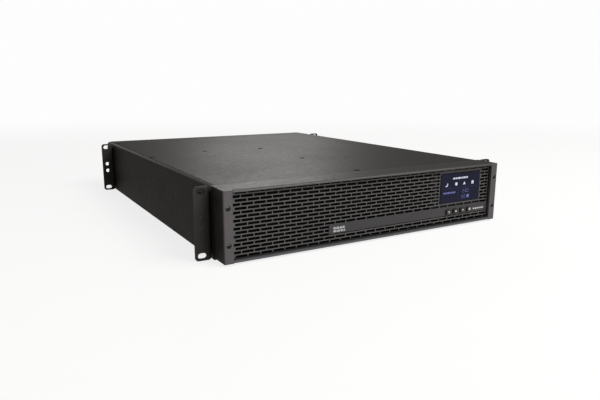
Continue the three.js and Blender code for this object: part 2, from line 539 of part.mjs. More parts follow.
// ================================================================ rear connections
const rear = new THREE.Group();
body.add(rear);
const flangeY0 = y1 + GAP;
OUTLET.forEach((o, i) => {
  const cuts = [];
  for (const k of [0, 1, 2]) {
    const cx = OUTLET_X[0] + 16 + 32 * k, cz = (o.z0 + o.z1) / 2;
    cuts.push(prism("y", [[cx - 12, cz - 8], [cx + 12, cz - 8], [cx + 12, cz + 4], [cx + 8, cz + 8], [cx - 8, cz + 8], [cx - 12, cz + 4]], flangeY0 + 0.9, flangeY0 + 5));
    for (const [dx, dz] of [[-7, -1.5], [7, -1.5], [0, 2.5]])
      cuts.push(box(cx + dx - 1.2, cx + dx + 1.2, flangeY0 - 12, flangeY0 + 5, cz + dz - 2.6, cz + dz + 2.6));
  }
  piece(`outlet_bank_${i + 1}`, cut(
    join(
      box(OUTLET_X[0], OUTLET_X[1], flangeY0, flangeY0 + 2.4, o.z0, o.z1),
      box(OUTLET_X[0] + 2.4, OUTLET_X[1] - 2.4, 562, flangeY0 + 0.5, o.z0 + 2.4, o.z1 - 2.4),
    ), ...cuts), "blackPlastic", rear);
});
{
  const cx = (INLET.x0 + INLET.x1) / 2, cz = (INLET.z0 + INLET.z1) / 2;
  const shell = cut(
    join(
      box(INLET.x0, INLET.x1, flangeY0, flangeY0 + 2.4, INLET.z0, INLET.z1),
      box(INLET.x0 + 4.4, INLET.x1 - 4.4, 558, flangeY0 + 0.5, INLET.z0 + 3.4, INLET.z1 - 3.4),
      box(cx - 17, cx + 17, flangeY0, flangeY0 + 4, cz - 12, cz + 12),
    ),
    box(cx - 14.5, cx + 14.5, flangeY0 - 14, flangeY0 + 6, cz - 9.5, cz + 9.5),
  );
  const pins = [[-8, -2], [8, -2], [0, 3]].map(([dx, dz]) => box(cx + dx - 3, cx + dx + 3, flangeY0 - 15, flangeY0 + 1, cz + dz - 1.1, cz + dz + 1.1));
  piece("ac_inlet", join(shell, ...pins), "blackPlastic", rear);
}
BREAKER_X.forEach((x, i) => {
  const shell = cut(
    join(rod("y", x, flangeY0, BREAKER_Z, 9.6, 3, 16), rod("y", x, 556, BREAKER_Z, 7.4, flangeY0 - 556 + 1, 16)),
    rod("y", x, 574, BREAKER_Z, 4.4, 20, 12),
  );
  piece(`breaker_body_${i + 1}`, shell, "blackPlastic", rear);
  piece(`breaker_button_${i + 1}`, join(rod("y", x, 575, BREAKER_Z, 3.8, 14.5, 12), rod("y", x, 576, BREAKER_Z, 4.0, 2, 12)), "redPlastic", rear);
});
piece("comm_ports", cut(
  join(
    box(COMM.x0, COMM.x1, flangeY0, flangeY0 + 1.6, COMM.z0, COMM.z1),
    box(COMM.x0 + 2.4, COMM.x1 - 2.4, 566, flangeY0 + 0.5, COMM.z0 + 2.4, COMM.z1 - 2.4),
  ),
  box(-44, -32, flangeY0 - 9, flangeY0 + 3, 36, 47),
  prism("y", [[-26, 46], [-25, 37], [-9, 37], [-8, 46]], flangeY0 - 6, flangeY0 + 3),
  box(-2, 8, flangeY0 - 8, flangeY0 + 3, 37.5, 45.5),
  box(13, 24, flangeY0 - 8, flangeY0 + 3, 36.5, 46.5),
), "zinc", rear);
piece("card_slot_cover", cut(
  box(SLOT.x0, SLOT.x1, flangeY0, flangeY0 + 1.2, SLOT.z0, SLOT.z1),
  ...[SLOT.x0 + 4.5, SLOT.x1 - 4.5].map((x) => rod("y", x, flangeY0 - 1, 67, 2.1, 4, 10)),
), "powder", rear);
[SLOT.x0 + 4.5, SLOT.x1 - 4.5].forEach((x, i) => {
  piece(`slot_screw_${i ? "right" : "left"}`, join(rod("y", x, 578, 67, 1.7, 8.2, 10), rod("y", x, flangeY0 + 1.5, 67, 4.0, 5, 14)), "zinc", rear);
});
piece("battery_expansion_port", cut(
  join(
    box(EXPANSION.x0, EXPANSION.x1, flangeY0, flangeY0 + 2.4, EXPANSION.z0, EXPANSION.z1),
    box(EXPANSION.x0 + 2.4, EXPANSION.x1 - 2.4, 560, flangeY0 + 0.5, EXPANSION.z0 + 2.4, EXPANSION.z1 - 2.4),
  ),
  box(-46, -27, flangeY0 - 14, flangeY0 + 5, 11, 24),
  box(-23, -4, flangeY0 - 14, flangeY0 + 5, 11, 24),
), "greyPlastic", rear);
piece("ground_stud", join(rod("y", STUD.x, 574, STUD.z, 2.5, 21, 10), rod("y", STUD.x, flangeY0, STUD.z, 5.2, 4, 6)), "zinc", rear);

export default ups;
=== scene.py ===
import bpy, bmesh, math, random
from mathutils import Vector, Matrix


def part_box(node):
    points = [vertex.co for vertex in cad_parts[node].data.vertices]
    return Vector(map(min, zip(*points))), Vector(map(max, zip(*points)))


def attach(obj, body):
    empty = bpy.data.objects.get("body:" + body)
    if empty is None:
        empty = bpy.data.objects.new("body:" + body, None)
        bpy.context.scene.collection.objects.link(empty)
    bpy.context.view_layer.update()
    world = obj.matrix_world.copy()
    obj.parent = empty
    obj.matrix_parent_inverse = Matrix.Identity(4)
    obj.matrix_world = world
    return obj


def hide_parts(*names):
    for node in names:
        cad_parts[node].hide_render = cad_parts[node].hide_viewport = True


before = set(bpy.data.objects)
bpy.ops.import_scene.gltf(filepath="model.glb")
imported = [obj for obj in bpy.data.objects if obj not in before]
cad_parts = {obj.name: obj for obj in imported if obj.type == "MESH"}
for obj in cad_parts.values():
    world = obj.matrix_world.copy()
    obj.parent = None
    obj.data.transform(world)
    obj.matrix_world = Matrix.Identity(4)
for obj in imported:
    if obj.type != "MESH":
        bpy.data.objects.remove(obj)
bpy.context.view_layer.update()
random.seed(7)
MM = 0.001


def cad(node):
    """x0, x1, y0, y1, z0, z1 of a CAD node in millimetres, y counted from the bezel's front face."""
    lo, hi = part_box(node)
    return (lo.x / MM, hi.x / MM, lo.y / MM - YF, hi.y / MM - YF, lo.z / MM, hi.z / MM)


YF = 0.0
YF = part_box("bezel_frame")[0].y / MM  # row-frame y of the bezel front, in mm

# ------------------------------------------------------------------ materials
def nodes_of(name):
    m = bpy.data.materials.new(name)
    m.use_nodes = True
    nt = m.node_tree
    nt.nodes.clear()
    out = nt.nodes.new("ShaderNodeOutputMaterial")
    p = nt.nodes.new("ShaderNodeBsdfPrincipled")
    nt.links.new(p.outputs[0], out.inputs[0])
    return m, nt, p


def link(nt, a, b):
    nt.links.new(a, b)


def noise(nt, vec, scale, detail=2.0, rough=0.5):
    n = nt.nodes.new("ShaderNodeTexNoise")
    n.inputs["Scale"].default_value = scale
    n.inputs["Detail"].default_value = detail
    n.inputs["Roughness"].default_value = rough
    link(nt, vec, n.inputs["Vector"])
    return n.outputs["Fac"]


def ranged(nt, val, a, b, lo=0.3, hi=0.7):
    r = nt.nodes.new("ShaderNodeMapRange")
    r.inputs["From Min"].default_value = lo
    r.inputs["From Max"].default_value = hi
    r.inputs["To Min"].default_value = a
    r.inputs["To Max"].default_value = b
    link(nt, val, r.inputs["Value"])
    return r.outputs["Result"]


def mix(nt, fac, a, b):
    n = nt.nodes.new("ShaderNodeMix")
    n.data_type = "RGBA"
    if isinstance(fac, float):
        n.inputs[0].default_value = fac
    else:
        link(nt, fac, n.inputs[0])
    for s, v in ((6, a), (7, b)):
        if isinstance(v, tuple):
            n.inputs[s].default_value = (*v[:3], 1)
        else:
            link(nt, v, n.inputs[s])
    return n.outputs[2]


def math_(nt, op, a, b=None, clamp=False):
    n = nt.nodes.new("ShaderNodeMath")
    n.operation = op
    n.use_clamp = clamp
    for i, v in enumerate((a, b)):
        if v is None:
            continue
        if isinstance(v, (int, float)):
            n.inputs[i].default_value = v
        else:
            link(nt, v, n.inputs[i])
    return n.outputs[0]


def surface(name, color, rough=0.5, rough_var=0.08, metal=0.0, grain=1400.0, bump=0.25, depth=0.00004,
            var=0.12, wear=0.0, wear_color=None, streak=None, spec=0.5, coat=0.0, mottle=9.0):
    """A finish with fine grain in the surface, drifting colour and roughness, and worn edges."""
    m, nt, p = nodes_of(name)
    tc = nt.nodes.new("ShaderNodeTexCoord")
    vec = tc.outputs["Object"]
    if streak:
        mp = nt.nodes.new("ShaderNodeMapping")
        mp.inputs["Scale"].default_value = streak
        link(nt, vec, mp.inputs["Vector"])
        gvec = mp.outputs["Vector"]
    else:
        gvec = vec
    broad = noise(nt, vec, mottle, 3.0, 0.55)
    mid = noise(nt, gvec, grain * 0.09, 3.0, 0.6)
    fine = noise(nt, gvec, grain, 2.0, 0.5)
    dark = tuple(c * (1 - var) for c in color)
    lite = tuple(min(1.0, c * (1 + var)) for c in color)
    col = mix(nt, ranged(nt, broad, 0.0, 1.0, 0.3, 0.7), dark, lite)
    speck = tuple(min(1.0, c * (1 + var * 1.2) + 0.004) for c in color)
    col = mix(nt, ranged(nt, fine, 0.0, 0.6, 0.45, 0.75), col, speck)
    rg = math_(nt, "ADD", ranged(nt, mid, rough - rough_var, rough + rough_var, 0.3, 0.7), ranged(nt, broad, -rough_var * 0.6, rough_var * 0.6, 0.3, 0.7), True)
    if wear > 0:
        bev = nt.nodes.new("ShaderNodeBevel")
        bev.samples = 4
        bev.inputs["Radius"].default_value = 0.0009
        geo = nt.nodes.new("ShaderNodeNewGeometry")
        dot = nt.nodes.new("ShaderNodeVectorMath")
        dot.operation = "DOT_PRODUCT"
        link(nt, bev.outputs[0], dot.inputs[0])
        link(nt, geo.outputs["Normal"], dot.inputs[1])
        edge = ranged(nt, dot.outputs["Value"], 1.0, 0.0, 0.80, 0.985)
        rub = math_(nt, "MULTIPLY", edge, ranged(nt, noise(nt, vec, 170.0, 4.0, 0.65), 0.15, 1.0, 0.35, 0.65), True)
        rub = math_(nt, "MULTIPLY", rub, wear, True)
        wc = wear_color or tuple(min(1.0, c * 2.6 + 0.03) for c in color)
        col = mix(nt, rub, col, wc)
        rg = math_(nt, "SUBTRACT", rg, math_(nt, "MULTIPLY", rub, 0.15), True)
    link(nt, col, p.inputs["Base Color"])
    link(nt, rg, p.inputs["Roughness"])
    p.inputs["Metallic"].default_value = metal
    p.inputs["Specular IOR Level"].default_value = spec
    if coat:
        p.inputs["Coat Weight"].default_value = coat
        p.inputs["Coat Roughness"].default_value = 0.12
    if bump:
        b = nt.nodes.new("ShaderNodeBump")
        b.inputs["Strength"].default_value = bump
        b.inputs["Distance"].default_value = depth
        h = math_(nt, "ADD", fine, math_(nt, "MULTIPLY", mid, 0.6))
        link(nt, h, b.inputs["Height"])
        link(nt, b.outputs[0], p.inputs["Normal"])
    return m


def glow(name, color, strength):
    m, nt, p = nodes_of(name)
    tc = nt.nodes.new("ShaderNodeTexCoord")
    f = noise(nt, tc.outputs["Object"], 900.0, 1.0, 0.5)
    col = mix(nt, ranged(nt, f, 0.0, 1.0, 0.3, 0.7), tuple(c * 0.82 for c in color), color)
    link(nt, col, p.inputs["Base Color"])
    link(nt, col, p.inputs["Emission Color"])
    p.inputs["Emission Strength"].default_value = strength
    p.inputs["Roughness"].default_value = 0.3
    return m


M = {}
M["powder"] = surface("powder_coat", (0.028, 0.0232, 0.0198), 0.46, 0.05, 0.0, 1500, 0.30, 0.00005, 0.10, 0.35)
M["lid"] = surface("powder_coat_lid", (0.027, 0.0238, 0.0214), 0.44, 0.05, 0.0, 1500, 0.28, 0.00005, 0.10, 0.35, spec=0.36)
M["ear"] = surface("powder_coat_ear", (0.035, 0.0305, 0.0272), 0.42, 0.06, 0.0, 1500, 0.30, 0.00005, 0.10, 0.55)
M["bezel"] = surface("bezel_moulding", (0.054, 0.0508, 0.0485), 0.44, 0.05, 0.0, 2100, 0.22, 0.00003, 0.08, 0.35)
# the rolled edge's pale colour is a painted highlight
M["edge_highlight"] = surface("rolled_edge_highlight", (0.20, 0.192, 0.184), 0.24, 0.06, 0.0, 1500, 0.20, 0.00003, 0.10, 0.35, spec=0.7)
M["skin"] = surface("bezel_top", (0.034, 0.0322, 0.0308), 0.44, 0.05, 0.0, 2100, 0.22, 0.00003, 0.08, 0.35, spec=0.58)
# the bezel's paler front top edge is a painted highlight
M["lip"] = surface("bezel_edge_highlight", (0.088, 0.084, 0.081), 0.40, 0.05, 0.0, 2100, 0.20, 0.00003, 0.08, 0.35)
M["lidscrew"] = surface("lid_screw", (0.006, 0.0058, 0.0056), 0.6, 0.06, 0.3, 1200, 0.12, 0.00002, 0.10, 0.4, (0.06, 0.06, 0.06), spec=0.08)
M["badge"] = surface("badge_print", (0.66, 0.66, 0.66), 0.5, 0.05, 0.0, 2500, 0.05, 0.00001, 0.06, 0.0)
M["cap"] = surface("end_cap", (0.165, 0.150, 0.156), 0.40, 0.06, 0.15, 1900, 0.2, 0.00003, 0.08, 0.4)
M["grille"] = surface("grille_moulding", (0.146, 0.140, 0.137), 0.42, 0.06, 0.0, 2100, 0.2, 0.00003, 0.10, 0.4)
M["zinc"] = surface("zinc_plate", (0.50, 0.50, 0.49), 0.36, 0.10, 0.92, 420, 0.12, 0.00002, 0.12, 0.25, (0.7, 0.7, 0.7), mottle=40.0)
M["brushed"] = surface("brushed_sheet", (0.42, 0.42, 0.415), 0.38, 0.08, 0.9, 900, 0.15, 0.00002, 0.10, 0.2, (0.7, 0.7, 0.7), streak=(1.0, 0.03, 1.0))
M["black"] = surface("black_moulding", (0.020, 0.0198, 0.0195), 0.48, 0.07, 0.0, 1700, 0.25, 0.00003, 0.10, 0.35)
M["band"] = surface("strip_moulding", (0.083, 0.080, 0.086), 0.40, 0.06, 0.0, 2100, 0.2, 0.00003, 0.10, 0.4)
M["capscrew"] = surface("socket_screw", (0.16, 0.157, 0.154), 0.34, 0.07, 0.85, 1200, 0.10, 0.00002, 0.10, 0.6, (0.5, 0.49, 0.48))
# near-black finish for the walls of holes, slots and sockets: painted shade
M["shade_black_wall"] = surface("slot_wall_painted_shade", (0.010, 0.0098, 0.0095), 0.75, 0.04, 0.0, 2100, 0.2, 0.00003, 0.08, 0.0, spec=0.15)
# near-black colour for the sheets behind the grille: painted shade
M["inner"] = surface("inner_black_painted_shade", (0.004, 0.0039, 0.0038), 0.8, 0.04, 0.0, 1500, 0.2, 0.00003, 0.08, 0.0, spec=0.1)
M["lens"] = surface("display_glass", (0.012, 0.0135, 0.038), 0.10, 0.03, 0.0, 600, 0.02, 0.00001, 0.15, 0.0, spec=0.5, coat=0.4)
M["screw"] = surface("black_oxide", (0.030, 0.029, 0.028), 0.34, 0.08, 0.75, 1200, 0.12, 0.00002, 0.10, 0.7, (0.28, 0.27, 0.26))
M["screwzinc"] = surface("zinc_screw", (0.55, 0.55, 0.54), 0.3, 0.08, 0.95, 900, 0.1, 0.00002, 0.10, 0.3, (0.75, 0.75, 0.75))
M["button"] = surface("key_cap", (0.060, 0.058, 0.056), 0.36, 0.05, 0.0, 2000, 0.12, 0.00002, 0.08, 0.4)
M["print"] = surface("print_light", (0.84, 0.84, 0.83), 0.5, 0.05, 0.0, 2500, 0.05, 0.00001, 0.06, 0.0)
M["board"] = surface("solder_mask", (0.018, 0.085, 0.035), 0.34, 0.06, 0.0, 700, 0.12, 0.00002, 0.22, 0.15, (0.30, 0.24, 0.08), mottle=60.0)
M["alu"] = surface("heatsink_alu", (0.62, 0.62, 0.63), 0.36, 0.08, 0.95, 800, 0.15, 0.00002, 0.08, 0.25, (0.8, 0.8, 0.8), streak=(1.0, 0.04, 1.0))
M["iron"] = surface("core_laminations", (0.055, 0.053, 0.052), 0.5, 0.08, 0.6, 1500, 0.35, 0.00005, 0.15, 0.4, streak=(1.0, 0.05, 1.0))
M["copper"] = surface("enamel_copper", (0.45, 0.16, 0.05), 0.32, 0.08, 0.85, 900, 0.35, 0.00008, 0.15, 0.1, streak=(1.0, 1.0, 0.2))
M["battery"] = surface("battery_case", (0.028, 0.030, 0.036), 0.45, 0.07, 0.0, 1300, 0.22, 0.00004, 0.12, 0.35)
M["batlid"] = surface("battery_lid", (0.045, 0.047, 0.052), 0.42, 0.07, 0.0, 1300, 0.22, 0.00004, 0.12, 0.35)
M["sleeve"] = surface("shrink_sleeve", (0.016, 0.030, 0.11), 0.24, 0.05, 0.0, 800, 0.05, 0.00001, 0.12, 0.1)
M["red"] = surface("red_moulding", (0.36, 0.022, 0.016), 0.38, 0.06, 0.0, 1600, 0.12, 0.00002, 0.10, 0.15)
M["wireblack"] = surface("black_insulation", (0.015, 0.015, 0.015), 0.38, 0.06, 0.0, 1200, 0.1, 0.00002, 0.10, 0.0)
M["grey"] = surface("grey_moulding", (0.26, 0.265, 0.27), 0.45, 0.06, 0.0, 1600, 0.2, 0.00003, 0.08, 0.2)
M["ribbon"] = surface("flat_cable", (0.30, 0.31, 0.32), 0.5, 0.05, 0.0, 1000, 0.3, 0.0001, 0.12, 0.0, streak=(1.0, 0.02, 0.02))
M["brass"] = surface("brass_contact", (0.62, 0.44, 0.16), 0.28, 0.07, 0.95, 700, 0.08, 0.00002, 0.10, 0.2)
M["green"] = surface("green_moulding", (0.030, 0.22, 0.060), 0.42, 0.06, 0.0, 1600, 0.15, 0.00002, 0.10, 0.15)
M["ui_white"] = glow("ui_white", (0.80, 0.86, 1.0), 0.26)
M["ui_blue"] = glow("ui_blue", (0.17, 0.19, 0.46), 0.33)
M["ui_dim"] = glow("ui_dim", (0.05, 0.06, 0.20), 0.30)




def shade_along(m, axis, z0, z1, k):
    """Base colour scaled from 1 at z0 to k at z1 along an axis, both in metres."""
    nt = m.node_tree
    p = [n for n in nt.nodes if n.type == "BSDF_PRINCIPLED"][0]
    src = p.inputs["Base Color"].links[0].from_socket
    tc = nt.nodes.new("ShaderNodeTexCoord")
    sep = nt.nodes.new("ShaderNodeSeparateXYZ")
    link(nt, tc.outputs["Object"], sep.inputs[0])
    mr = nt.nodes.new("ShaderNodeMapRange")
    mr.inputs["From Min"].default_value = z0
    mr.inputs["From Max"].default_value = z1
    mr.inputs["To Min"].default_value = 1.0
    mr.inputs["To Max"].default_value = k
    link(nt, sep.outputs[axis], mr.inputs["Value"])
    sc = nt.nodes.new("ShaderNodeVectorMath")
    sc.operation = "SCALE"
    link(nt, src, sc.inputs[0])
    link(nt, mr.outputs["Result"], sc.inputs["Scale"])
    link(nt, sc.outputs[0], p.inputs["Base Color"])


# painted shade: the rail's colour darkens towards its top, where the grille shades it
M["rail"] = surface("bezel_rail_painted_shade", (0.25, 0.243, 0.262), 0.55, 0.05, 0.0, 2100, 0.20, 0.00003, 0.08, 0.2, spec=0.3)
shade_along(M["rail"], "Z", 0.0030, 0.0073, 0.03)
# painted highlight on the rolled edge: brighter towards the rear, dimmer towards the front
shade_along(M["edge_highlight"], "Y", 0.24, -0.12, 0.30)

# ------------------------------------------------------------------ mesh building, in millimetres
class G:
    """Geometry being built: x, y from the bezel front, z, all in millimetres."""

    def __init__(self):
        self.bm = bmesh.new()
        self.mat = 0

    def _face(self, vs):
        f = self.bm.faces.new(vs)
        f.material_index = self.mat
        return f

    def box(self, x0, x1, y0, y1, z0, z1):
        v = [self.bm.verts.new(c) for c in ((x0, y0, z0), (x1, y0, z0), (x1, y1, z0), (x0, y1, z0), (x0, y0, z1), (x1, y0, z1), (x1, y1, z1), (x0, y1, z1))]
        for q in ((3, 2, 1, 0), (4, 5, 6, 7), (0, 1, 5, 4), (1, 2, 6, 5), (2, 3, 7, 6), (3, 0, 4, 7)):
            self._face([v[i] for i in q])
        return self

    def prism(self, axis, pts, a, b):
        """pts is (x, z) for axis y, (y, z) for axis x and (x, y) for axis z."""
        def at(p, t):
            return {"y": (p[0], t, p[1]), "x": (t, p[0], p[1]), "z": (p[0], p[1], t)}[axis]
        A = [self.bm.verts.new(at(p, a)) for p in pts]
        B = [self.bm.verts.new(at(p, b)) for p in pts]
        n = len(pts)
        self._face(A[::-1])
        self._face(B)
        for i in range(n):
            j = (i + 1) % n
            self._face([A[i], A[j], B[j], B[i]])
        return self

    def lathe(self, axis, c, prof, seg=32, phase=0.0, loop=False):
        """prof: (radius, height along axis) from end to end; radius 0 closes on the axis; loop makes a ring."""
        rings = []
        for r, h in prof:
            if r <= 1e-9:
                rings.append([self.bm.verts.new(self._ax(axis, c, 0, 0, h))])
            else:
                rings.append([self.bm.verts.new(self._ax(axis, c, r * math.cos(phase + 2 * math.pi * k / seg), r * math.sin(phase + 2 * math.pi * k / seg), h)) for k in range(seg)])
        for a, b in zip(rings, rings[1:] + rings[:1] if loop else rings[1:]):
            for k in range(seg):
                l = (k + 1) % seg
                if len(a) == 1 and len(b) == 1:
                    continue
                if len(a) == 1:
                    self._face([a[0], b[k], b[l]])
                elif len(b) == 1:
                    self._face([a[k], b[0], a[l]])
                else:
                    self._face([a[k], b[k], b[l], a[l]])
        if loop:
            return self
        if len(rings[0]) > 1:
            self._face(rings[0])
        if len(rings[-1]) > 1:
            self._face(rings[-1][::-1])
        return self

    def loft(self, rings):
        """Closed skin over a row of equal outlines, capped at both ends."""
        R = [[self.bm.verts.new(p) for p in r] for r in rings]
        n = len(R[0])
        for a, b in zip(R, R[1:]):
            for k in range(n):
                self._face([a[k], a[(k + 1) % n], b[(k + 1) % n], b[k]])
        self._face(R[0][::-1])
        self._face(R[-1])
        return self

    @staticmethod
    def _ax(axis, c, u, v, h):
        cx, cy, cz = c
        if axis == "y":
            return (cx + u, cy + h, cz + v)
        if axis == "z":
            return (cx + u, cy + v, cz + h)
        return (cx + h, cy + u, cz + v)

    def cyl(self, axis, c, r, length, seg=32, phase=0.0):
        return self.lathe(axis, c, [(r, 0), (r, length)], seg, phase)

    def tube(self, pts, r, seg=12, closed=False, flat=None):
        """A round wire through pts (rw, rh with flat) with mitred corners."""
        P = [Vector(p) for p in pts]
        n = len(P)
        rings = []
        up = None
        for i in range(n):
            if closed:
                t = (P[(i + 1) % n] - P[i - 1]).normalized()
            else:
                t = (P[min(i + 1, n - 1)] - P[max(i - 1, 0)]).normalized()
            if up is None:
                up = Vector((0, 0, 1)) if abs(t.z) < 0.9 else Vector((1, 0, 0))
            side = t.cross(up).normalized()
            up = side.cross(t).normalized()
            ru, rv = flat if flat else (r, r)
            rings.append([self.bm.verts.new(P[i] + side * (ru * math.cos(2 * math.pi * k / seg)) + up * (rv * math.sin(2 * math.pi * k / seg))) for k in range(seg)])
        m = n if closed else n - 1
        for i in range(m):
            a, b = rings[i], rings[(i + 1) % n]
            for k in range(seg):
                l = (k + 1) % seg
                self._face([a[k], a[l], b[l], b[k]])
        if not closed:
            self._face(rings[0][::-1])
            self._face(rings[-1])
        return self

    def add(self, other):
        me = bpy.data.meshes.new("tmp")
        other.bm.to_mesh(me)
        self.bm.from_mesh(me)
        bpy.data.meshes.remove(me)
        return self


def arc(cx, cy, r, a0, a1, n):
    return [(cx + r * math.cos(math.radians(a0 + (a1 - a0) * i / n)), cy + r * math.sin(math.radians(a0 + (a1 - a0) * i / n))) for i in range(n + 1)]


def rrect(x0, x1, z0, z1, r, n=5):
    return arc(x1 - r, z1 - r, r, 0, 90, n) + arc(x0 + r, z1 - r, r, 90, 180, n) + arc(x0 + r, z0 + r, r, 180, 270, n) + arc(x1 - r, z0 + r, r, 270, 360, n)


def smooth_path(pts, per=8):
    """Catmull-Rom through pts."""
    P = [Vector(p) for p in pts]
    out = []
    for i in range(len(P) - 1):
        p0, p1, p2, p3 = P[max(i - 1, 0)], P[i], P[i + 1], P[min(i + 2, len(P) - 1)]
        for k in range(per):
            t = k / per
            out.append(0.5 * ((2 * p1) + (p2 - p0) * t + (2 * p0 - 5 * p1 + 4 * p2 - p3) * t * t + (3 * p1 - p0 - 3 * p2 + p3) * t ** 3))
    out.append(P[-1])
    return [tuple(p) for p in out]


def boolean(a, b, op="DIFFERENCE"):
    """a with b taken away or joined on; both G, returns G."""
    obs = []
    for g in (a, b):
        bmesh.ops.recalc_face_normals(g.bm, faces=g.bm.faces)
        me = bpy.data.meshes.new("tmp")
        g.bm.to_mesh(me)
        o = bpy.data.objects.new("tmp", me)
        bpy.context.scene.collection.objects.link(o)
        obs.append(o)
    mod = obs[0].modifiers.new("b", "BOOLEAN")
    mod.operation = op
    mod.solver = "EXACT"
    mod.object = obs[1]
    bpy.context.view_layer.update()
    ev = obs[0].evaluated_get(bpy.context.evaluated_depsgraph_get())
    me = bpy.data.meshes.new_from_object(ev)
    out = G()
    out.bm.from_mesh(me)
    for o in obs:
        d = o.data
        bpy.data.objects.remove(o)
        bpy.data.meshes.remove(d)
    bpy.data.meshes.remove(me)
    bmesh.ops.remove_doubles(out.bm, verts=out.bm.verts, dist=1e-4)
    bmesh.ops.dissolve_limit(out.bm, angle_limit=math.radians(0.5), verts=out.bm.verts, edges=out.bm.edges)
    return out


def make(name, g, mats, body, bevel=0.3, seg=2, replaces=(), sharp=38, limit=35):
    bm = g.bm
    bmesh.ops.remove_doubles(bm, verts=bm.verts, dist=1e-5)
    bmesh.ops.recalc_face_normals(bm, faces=bm.faces)
    for v in bm.verts:
        v.co = Vector((v.co.x * MM, (v.co.y + YF) * MM, v.co.z * MM))
    for f in bm.faces:
        f.smooth = True
    for e in bm.edges:
        if len(e.link_faces) == 2 and e.calc_face_angle(0) > math.radians(sharp):
            e.smooth = False
    me = bpy.data.meshes.new(name)
    bm.to_mesh(me)
    bm.free()
    o = bpy.data.objects.new(name, me)
    bpy.context.scene.collection.objects.link(o)
    for m in mats if isinstance(mats, (list, tuple)) else [mats]:
        me.materials.append(M[m])
    if bevel:
        b = o.modifiers.new("edges", "BEVEL")
        b.width = bevel * MM
        b.segments = seg
        b.limit_method = "ANGLE"
        b.angle_limit = math.radians(limit)
        b.harden_normals = True
        b.use_clamp_overlap = True
    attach(o, body)
    if replaces:
        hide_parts(*replaces)
    return o


def finish_node(node, mat, bevel=0.0, seg=2):
    """A CAD node kept as it is: procedural finish, and edges softened by a modifier."""
    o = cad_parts[node]
    o.data.materials.clear()
    o.data.materials.append(M[mat])
    for p in o.data.polygons:
        p.use_smooth = False
    if bevel:
        b = o.modifiers.new("edges", "BEVEL")
        b.width = bevel * MM
        b.segments = seg
        b.limit_method = "ANGLE"
        b.angle_limit = math.radians(35)
    return o


def screw_head(g, axis, c, r, h, sign, kind="pan", seg=28, phase=0.3):
    """A screw head whose base sits at c and which rises along sign*axis, with a cross recess."""
    s = sign
    if kind == "pan":
        prof = [(0.001, 0), (r, 0), (r, h * 0.35), (r * 0.93, h * 0.68), (r * 0.78, h * 0.9), (r * 0.55, h)]
        depth = h * 0.62
    else:
        prof = [(0.001, -h), (r * 0.45, -h), (r, -0.15), (r, 0.0), (r * 0.97, 0.05)]
        depth = h * 0.7
    top = prof[-1][1]
    # cross recess as four notches modelled in the top face
    head = G()
    head.lathe(axis, c, [(a, s * b) for a, b in prof], seg)
    cutter = G()
    w, l = r * 0.15, r * 0.56
    for k in range(2):
        a = phase + k * math.pi / 2
        pts = [(-l, -w), (l, -w), (l, w), (-l, w)]
        rot = [(u * math.cos(a) - v * math.sin(a), u * math.sin(a) + v * math.cos(a)) for u, v in pts]
        lo, hi = sorted((s * (top - depth), s * (top + 0.6)))
        if axis == "y":
            cutter.prism("y", [(c[0] + u, c[2] + v) for u, v in rot], c[1] + lo, c[1] + hi)
        elif axis == "z":
            cutter.prism("z", [(c[0] + u, c[1] + v) for u, v in rot], c[2] + lo, c[2] + hi)
        else:
            cutter.prism("x", [(c[1] + u, c[2] + v) for u, v in rot], c[0] + lo, c[0] + hi)
        if k == 0:
            first = cutter
            cutter = G()
    cross = boolean(first, cutter, "UNION")
    head = boolean(head, cross)
    g.add(head)
    return g

# ------------------------------------------------------------------ the chassis
px0, px1, py0, py1, pz0, pz1 = cad("base_pan")
lx0, lx1, ly0, ly1, lz0, lz1 = cad("top_cover")
bx0, bx1, by0, by1, bz0, bz1 = cad("bezel_frame")
gx0, gx1, gy0, gy1, gz0, gz1 = cad("bezel_grille")
rx0, rx1, ry0, ry1, rz0, rz1 = cad("rear_panel")
W, H = px1, lz1
SHEET = 1.2
BEV = 4.6
bevz = H - 0.4
flange = lz1 - SHEET - 0.3
bvx = W - BEV


def side_profile(s):
    """Half of the pan's section, from the floor's middle out and up to the flange, outer then inner."""
    roll = arc(bvx - 1.0, bevz - BEV - 1.0, BEV + 1.0, 0, 90, 8)  # rolled edge
    outer = [(0, 0), (W - 0.8, 0), (W - 0.25, 0.25), (W, 0.8)] + roll + [(bvx - 0.9 - 1.0 + 0.4, bevz)]
    inner = [(bvx - 1.5, flange), (bvx - 10, flange), (bvx - 10, flange - SHEET), (bvx - 1.8, flange - SHEET), (W - SHEET, bevz - BEV - 1.4), (W - SHEET, SHEET + 0.6), (W - SHEET - 0.6, SHEET), (0, SHEET)]
    return outer, inner


o_, i_ = side_profile(1)
prof = o_[1:] + i_[:-1]
prof = prof + [(-x, z) for x, z in prof[::-1]]
pan = G().prism("y", prof, py0, py1)
c_ = G().box(-W - 5, W + 5, py0 - 5, by1 + 0.4, bz1 - 1.9 - 0.3, 99)
pan = boolean(pan, c_)
c_ = G().box(-bvx + 0.5, bvx - 0.5, ry0 - 0.3, py1 + 5, 82, 99)
pan = boolean(pan, c_)
# air slots in the floor
holes = G()
for k in range(7):
    for x0 in (60, 150):
        pts = rrect(x0 - 22, x0 + 22, 250 + k * 14 - 2.2, 250 + k * 14 + 2.2, 2.2, 4)
        holes.prism("z", pts, -3, 4)
pan = boolean(pan, holes)
for f in pan.bm.faces:  # painted highlight: the crown of the rolled edge gets a pale colour
    f.normal_update()
    c_ = f.calc_center_median()
    if c_.z > bevz - 1.3 and abs(c_.x) > bvx - 2.6 and f.normal.z > 0.3:
        f.material_index = 1
make("chassis_shell", pan, ["powder", "edge_highlight"], "chassis", 0.25, 2, ("base_pan",))

